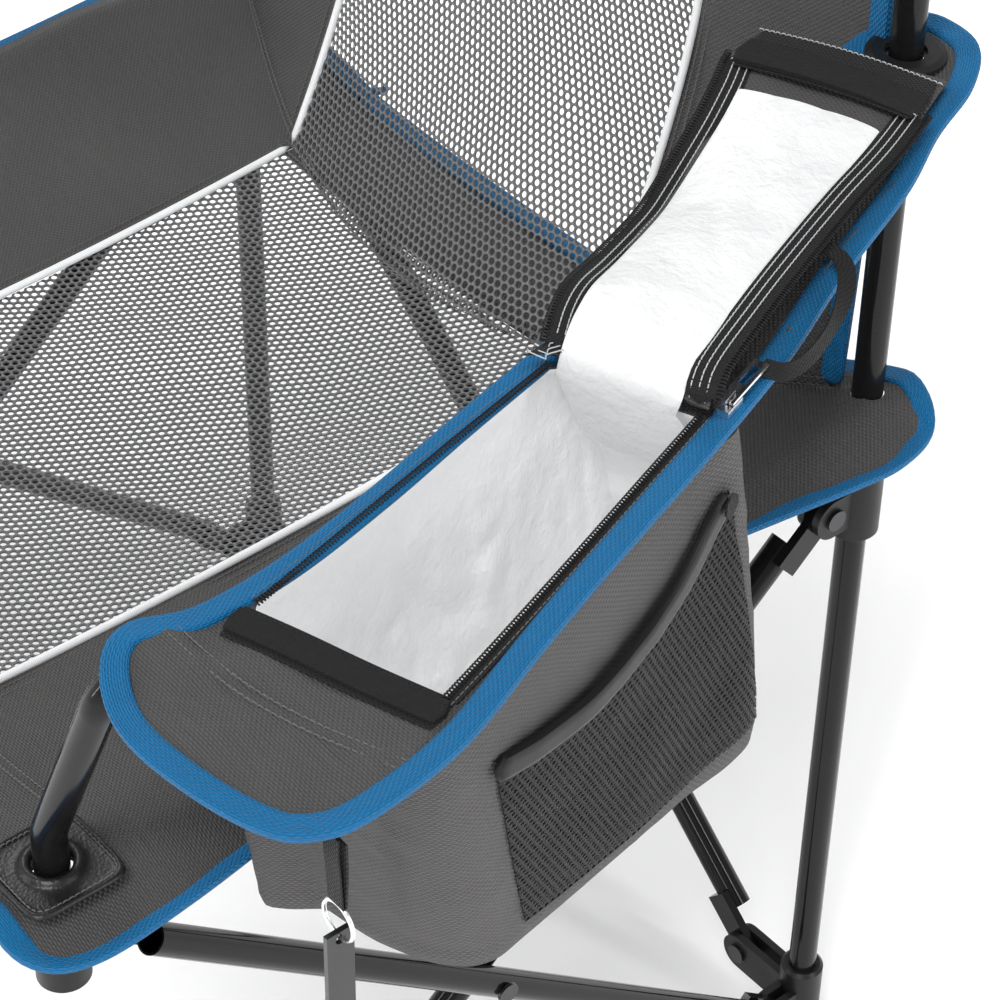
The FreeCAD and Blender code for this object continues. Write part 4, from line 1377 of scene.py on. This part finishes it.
def make_pocket():
    """A net pocket on the bag's outer wall, with a satin band along its sagging rim."""
    count = 200
    rows = bag_surface(count, 0.0, 0.6, BAG_SEED)
    start, end = pocket_span(rows[20])
    columns = []
    for k in range(41):
        spot = start + (end - start) * k / 40
        low, share = int(spot), spot - int(spot)
        column = [row[low].lerp(row[low + 1], share) for row in rows[5:37]]
        rim = 570 + 52 * (k / 40) ** 3 + 14 * (1 - k / 40) ** 3
        columns.append(evenly(below(column[::-1], rim), 30))
    middle_of_bag = sum(rows[20], Vector()) / len(rows[20])

    def net(u, w):
        spot = columns[round(u * 40)][round(w * 30)]
        out = Vector((spot.x - middle_of_bag.x, (spot.y - middle_of_bag.y) * 0.3, 0)).normalized()
        stand = 2.0 + 4.6 * math.sin(math.pi * u) ** 0.7 * (0.35 + 0.65 * w)
        stand += ripple(spot.y, spot.z, 1.0, 30, 6)
        return spot + out * stand

    sewn(planar(drape(40, 30, net), 1, 2), "pocket_net", "pocket", "cooler", ["cooler_pocket"],
         NET_THICK, bag_fold())
    face = Vector((1, 0.28, 0)).normalized()
    band = binding([Vector(net(k / 40, 1)) for k in range(41)][::-1], face)
    trim(band, "pocket_band", "satin", "cooler", bag_fold())
    tab_path = [Vector(net(0.96, 1)) + Vector((1.6, 4, z)) for z in (6, 2, -4, -10)]
    tab = flat_tape(tab_path, face, 9.0, 1.0, 1.2, side=-4.5)
    trim(tab, "pocket_tab", "tape", "cooler", bag_fold())


# ---------------------------------------------------------------- small trim
def make_trim():
    ribbon = [(371, 53, 660), (377, 61, 657), (378, 72, 658), (375, 84, 660), (370, 97, 664), (363, 109, 669),
              (355, 116, 673), (346, 117, 675), (338, 112, 674), (335, 103, 671)]
    path = curve_through(ribbon, 60)
    beside = Vector((0.93, 0.3, 0.25))
    faces = [beside.lerp(UP, min(1.0, max(0.0, k / 60 * 3.0 - 1.2))).normalized() for k in range(len(path))]
    loop = flat_tape(path, faces, 8.0, 0.2, 0.9, side=-4.0)
    trim(loop, "pull_ribbon", "tape", "zip_pull", bag_fold(), angle=60)
    sx, sy = middle("strap").x, middle("strap").y
    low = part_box("strap")[0][2] / MM
    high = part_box("strap")[1][2] / MM
    knots = [(sx, sy - 2.2, high + 1), (sx, sy - 2.4, high - 10), (sx, sy - 1.8, (high + low) / 2),
             (sx, sy - 1.2, low + 6), (sx, sy - 0.9, low), (sx, sy, low - 2.0), (sx, sy + 0.9, low),
             (sx, sy + 1.2, low + 6), (sx, sy + 1.8, (high + low) / 2), (sx, sy + 1.6, high - 4)]
    line = curve_through(knots, 70)
    ways = along_path(line)
    faces = [way.cross(Vector((1, 0, 0))).normalized() for way in ways]
    webbing = flat_tape(line, faces, 9.0, -0.4, 0.8, side=-4.5)
    trim(webbing, "strap_webbing", "tape", "strap", nodes=["strap"], angle=60)


def dress_frame():
    """Gives the frame's own nodes their finishes."""
    finishes = {"tube_black": "tube", "moulded_black": "nylon", "rivet_steel": "rivet", "zinc": "plate",
                "opener_black": "opener", "vinyl_black": "vinyl", "webbing_black": "tape"}
    hidden = ("fabric_grey", "mesh_grey", "lining_white")
    for part in frame["record"]["subparts"]:
        slot = part["material_slot"]
        if slot in hidden or slot not in finishes:
            continue
        node = bpy.data.objects[part["node"]]
        for place in node.material_slots:
            place.material = FINISH[finishes[slot]]
        if not node.material_slots:
            node.data.materials.append(FINISH[finishes[slot]])


# ---------------------------------------------------------------- stage
CAMERA_PLACE = (1.08216, -0.69043, 1.45734)
CAMERA_TURN, CAMERA_TILT, CAMERA_ROLL = 49.65, 40.44, 1.03
LENS = 113.2


def make_stage():
    deselect()
    bpy.ops.mesh.primitive_grid_add(x_subdivisions=40, y_subdivisions=40, size=14)
    floor = bpy.context.object
    floor.name = "floor"
    for vertex in floor.data.vertices:
        away = max(0.0, vertex.co.length - 4.0)
        vertex.co.z = 0.12 * away ** 2
    floor.data.materials.append(FINISH["floor"])
    smooth(floor, 60)
    world = bpy.data.worlds.new("studio")
    world.use_nodes = True
    sky = world.node_tree.nodes["Background"]
    sky.inputs["Color"].default_value = (1, 1, 1, 1)
    sky.inputs["Strength"].default_value = 0.55
    bpy.context.scene.world = world
    bpy.context.scene.view_settings.view_transform = "Standard"
    lamps = (("key", (0.9, -1.6, 3.0), 2.3), ("fill", (-2.6, 0.6, 2.2), 0.8))
    for name, place, power in lamps:
        data = bpy.data.lights.new(name, "SUN")
        data.angle, data.energy = math.radians(22), power
        lamp = bpy.data.objects.new(name, data)
        lamp.location = place
        lamp.rotation_euler = (-Vector(place)).to_track_quat("-Z", "Y").to_euler()
        bpy.context.collection.objects.link(lamp)
    strips = (("strip_left", (-1.2, -2.4, 1.6), 0.16, 22), ("strip_right", (2.6, 0.9, 1.4), 0.2, 26),
              ("strip_front", (1.9, -2.2, 1.0), 0.14, 16))
    for name, place, wide, power in strips:
        data = bpy.data.lights.new(name, "AREA")
        data.shape, data.size, data.size_y, data.energy = "RECTANGLE", wide, 2.2, power
        lamp = bpy.data.objects.new(name, data)
        lamp.location = place
        lamp.rotation_euler = (Vector((0.2, 0, 0.4)) - Vector(place)).to_track_quat("-Z", "Y").to_euler()
        bpy.context.collection.objects.link(lamp)
    set_camera()


def set_camera():
    turn, tilt, roll = (math.radians(a) for a in (CAMERA_TURN, CAMERA_TILT, CAMERA_ROLL))
    ahead = Vector((-math.sin(turn) * math.cos(tilt), math.cos(turn) * math.cos(tilt), -math.sin(tilt)))
    side = Vector((math.cos(turn), math.sin(turn), 0))
    top = side.cross(ahead)
    right = side * math.cos(roll) + top * math.sin(roll)
    above = top * math.cos(roll) - side * math.sin(roll)
    data = bpy.data.cameras.new("camera")
    data.lens, data.sensor_width = LENS, 36.0
    camera = bpy.data.objects.new("camera", data)
    columns = Matrix((right, above, -ahead)).transposed()
    camera.matrix_world = Matrix.Translation(CAMERA_PLACE) @ columns.to_4x4()
    bpy.context.collection.objects.link(camera)
    bpy.context.scene.camera = camera


# ---------------------------------------------------------------- operators
class Making:
    """What every step here shares: it runs one maker and reports."""
    bl_options = {"REGISTER", "UNDO"}

    def execute(self, context):
        type(self).maker()
        return {"FINISHED"}


class CHAIR_OT_finishes(Making, bpy.types.Operator):
    """Mix the finishes"""
    bl_idname, bl_label = "chair.finishes", "Mix finishes"
    maker = staticmethod(make_finishes)


class CHAIR_OT_frame(Making, bpy.types.Operator):
    """Paint the frame's tubes, mouldings and rivets"""
    bl_idname, bl_label = "chair.frame", "Finish frame"
    maker = staticmethod(dress_frame)


class CHAIR_OT_seat(Making, bpy.types.Operator):
    """Sew the seat sling, its side panels, piping and binding"""
    bl_idname, bl_label = "chair.seat", "Sew seat"
    maker = staticmethod(make_seat)


class CHAIR_OT_corners(Making, bpy.types.Operator):
    """Press the vinyl corner patches and their eyelets"""
    bl_idname, bl_label = "chair.corners", "Press seat corners"
    maker = staticmethod(make_corner_patches)


class CHAIR_OT_back(Making, bpy.types.Operator):
    """Sew the back sling, its panels and its sleeves"""
    bl_idname, bl_label = "chair.back", "Sew back"
    maker = staticmethod(make_back)


class CHAIR_OT_arms(Making, bpy.types.Operator):
    """Cut and bind the cloth of both arms"""
    bl_idname, bl_label = "chair.arms", "Sew arms"
    maker = staticmethod(make_arms)


class CHAIR_OT_cup(Making, bpy.types.Operator):
    """Hang the net cup holder"""
    bl_idname, bl_label = "chair.cup", "Sew cup holder"
    maker = staticmethod(make_cup_holder)


class CHAIR_OT_cooler(Making, bpy.types.Operator):
    """Sew the cooler bag and its white film"""
    bl_idname, bl_label = "chair.cooler", "Sew cooler"
    maker = staticmethod(make_cooler)


class CHAIR_OT_closures(Making, bpy.types.Operator):
    """Set the zipper and the loop strip round the mouth"""
    bl_idname, bl_label = "chair.closures", "Set closures"
    maker = staticmethod(make_closures)


class CHAIR_OT_lid(Making, bpy.types.Operator):
    """Fill and edge the cooler's lid"""
    bl_idname, bl_label = "chair.lid", "Sew lid"
    maker = staticmethod(make_lid)


class CHAIR_OT_pocket(Making, bpy.types.Operator):
    """Sew the net pocket on the bag"""
    bl_idname, bl_label = "chair.pocket", "Sew pocket"
    maker = staticmethod(make_pocket)


class CHAIR_OT_trim(Making, bpy.types.Operator):
    """Add the ribbon and the webbing that holds the ring"""
    bl_idname, bl_label = "chair.trim", "Add small trim"
    maker = staticmethod(make_trim)


class CHAIR_OT_stage(Making, bpy.types.Operator):
    """Set the floor, the lights and the camera"""
    bl_idname, bl_label = "chair.stage", "Set stage"
    maker = staticmethod(make_stage)


STEPS = (CHAIR_OT_finishes, CHAIR_OT_frame, CHAIR_OT_seat, CHAIR_OT_corners, CHAIR_OT_back,
         CHAIR_OT_arms, CHAIR_OT_cup, CHAIR_OT_cooler, CHAIR_OT_closures, CHAIR_OT_lid,
         CHAIR_OT_pocket, CHAIR_OT_trim, CHAIR_OT_stage)


class CHAIR_PT_panel(bpy.types.Panel):
    """The chair's settings and its steps, in the order they are made"""
    bl_label, bl_idname = "Camp Chair", "CHAIR_PT_panel"
    bl_space_type, bl_region_type, bl_category = "VIEW_3D", "UI", "Camp Chair"

    def draw(self, context):
        for settings in (context.scene.chair_cloth, context.scene.chair_colours):
            box = self.layout.box()
            for name in settings.__annotations__:
                box.prop(settings, name)
        for step in STEPS:
            self.layout.operator(step.bl_idname)


CLASSES = (ChairCloth, ChairColours) + STEPS + (CHAIR_PT_panel,)


def register():
    for each in CLASSES:
        bpy.utils.register_class(each)
    bpy.types.Scene.chair_cloth = bpy.props.PointerProperty(type=ChairCloth)
    bpy.types.Scene.chair_colours = bpy.props.PointerProperty(type=ChairColours)


def unregister():
    del bpy.types.Scene.chair_colours
    del bpy.types.Scene.chair_cloth
    for each in reversed(CLASSES):
        bpy.utils.unregister_class(each)


def main():
    register()
    for step in STEPS:
        group, name = step.bl_idname.split(".")
        getattr(getattr(bpy.ops, group), name)()


if __name__ == "__main__":
    main()
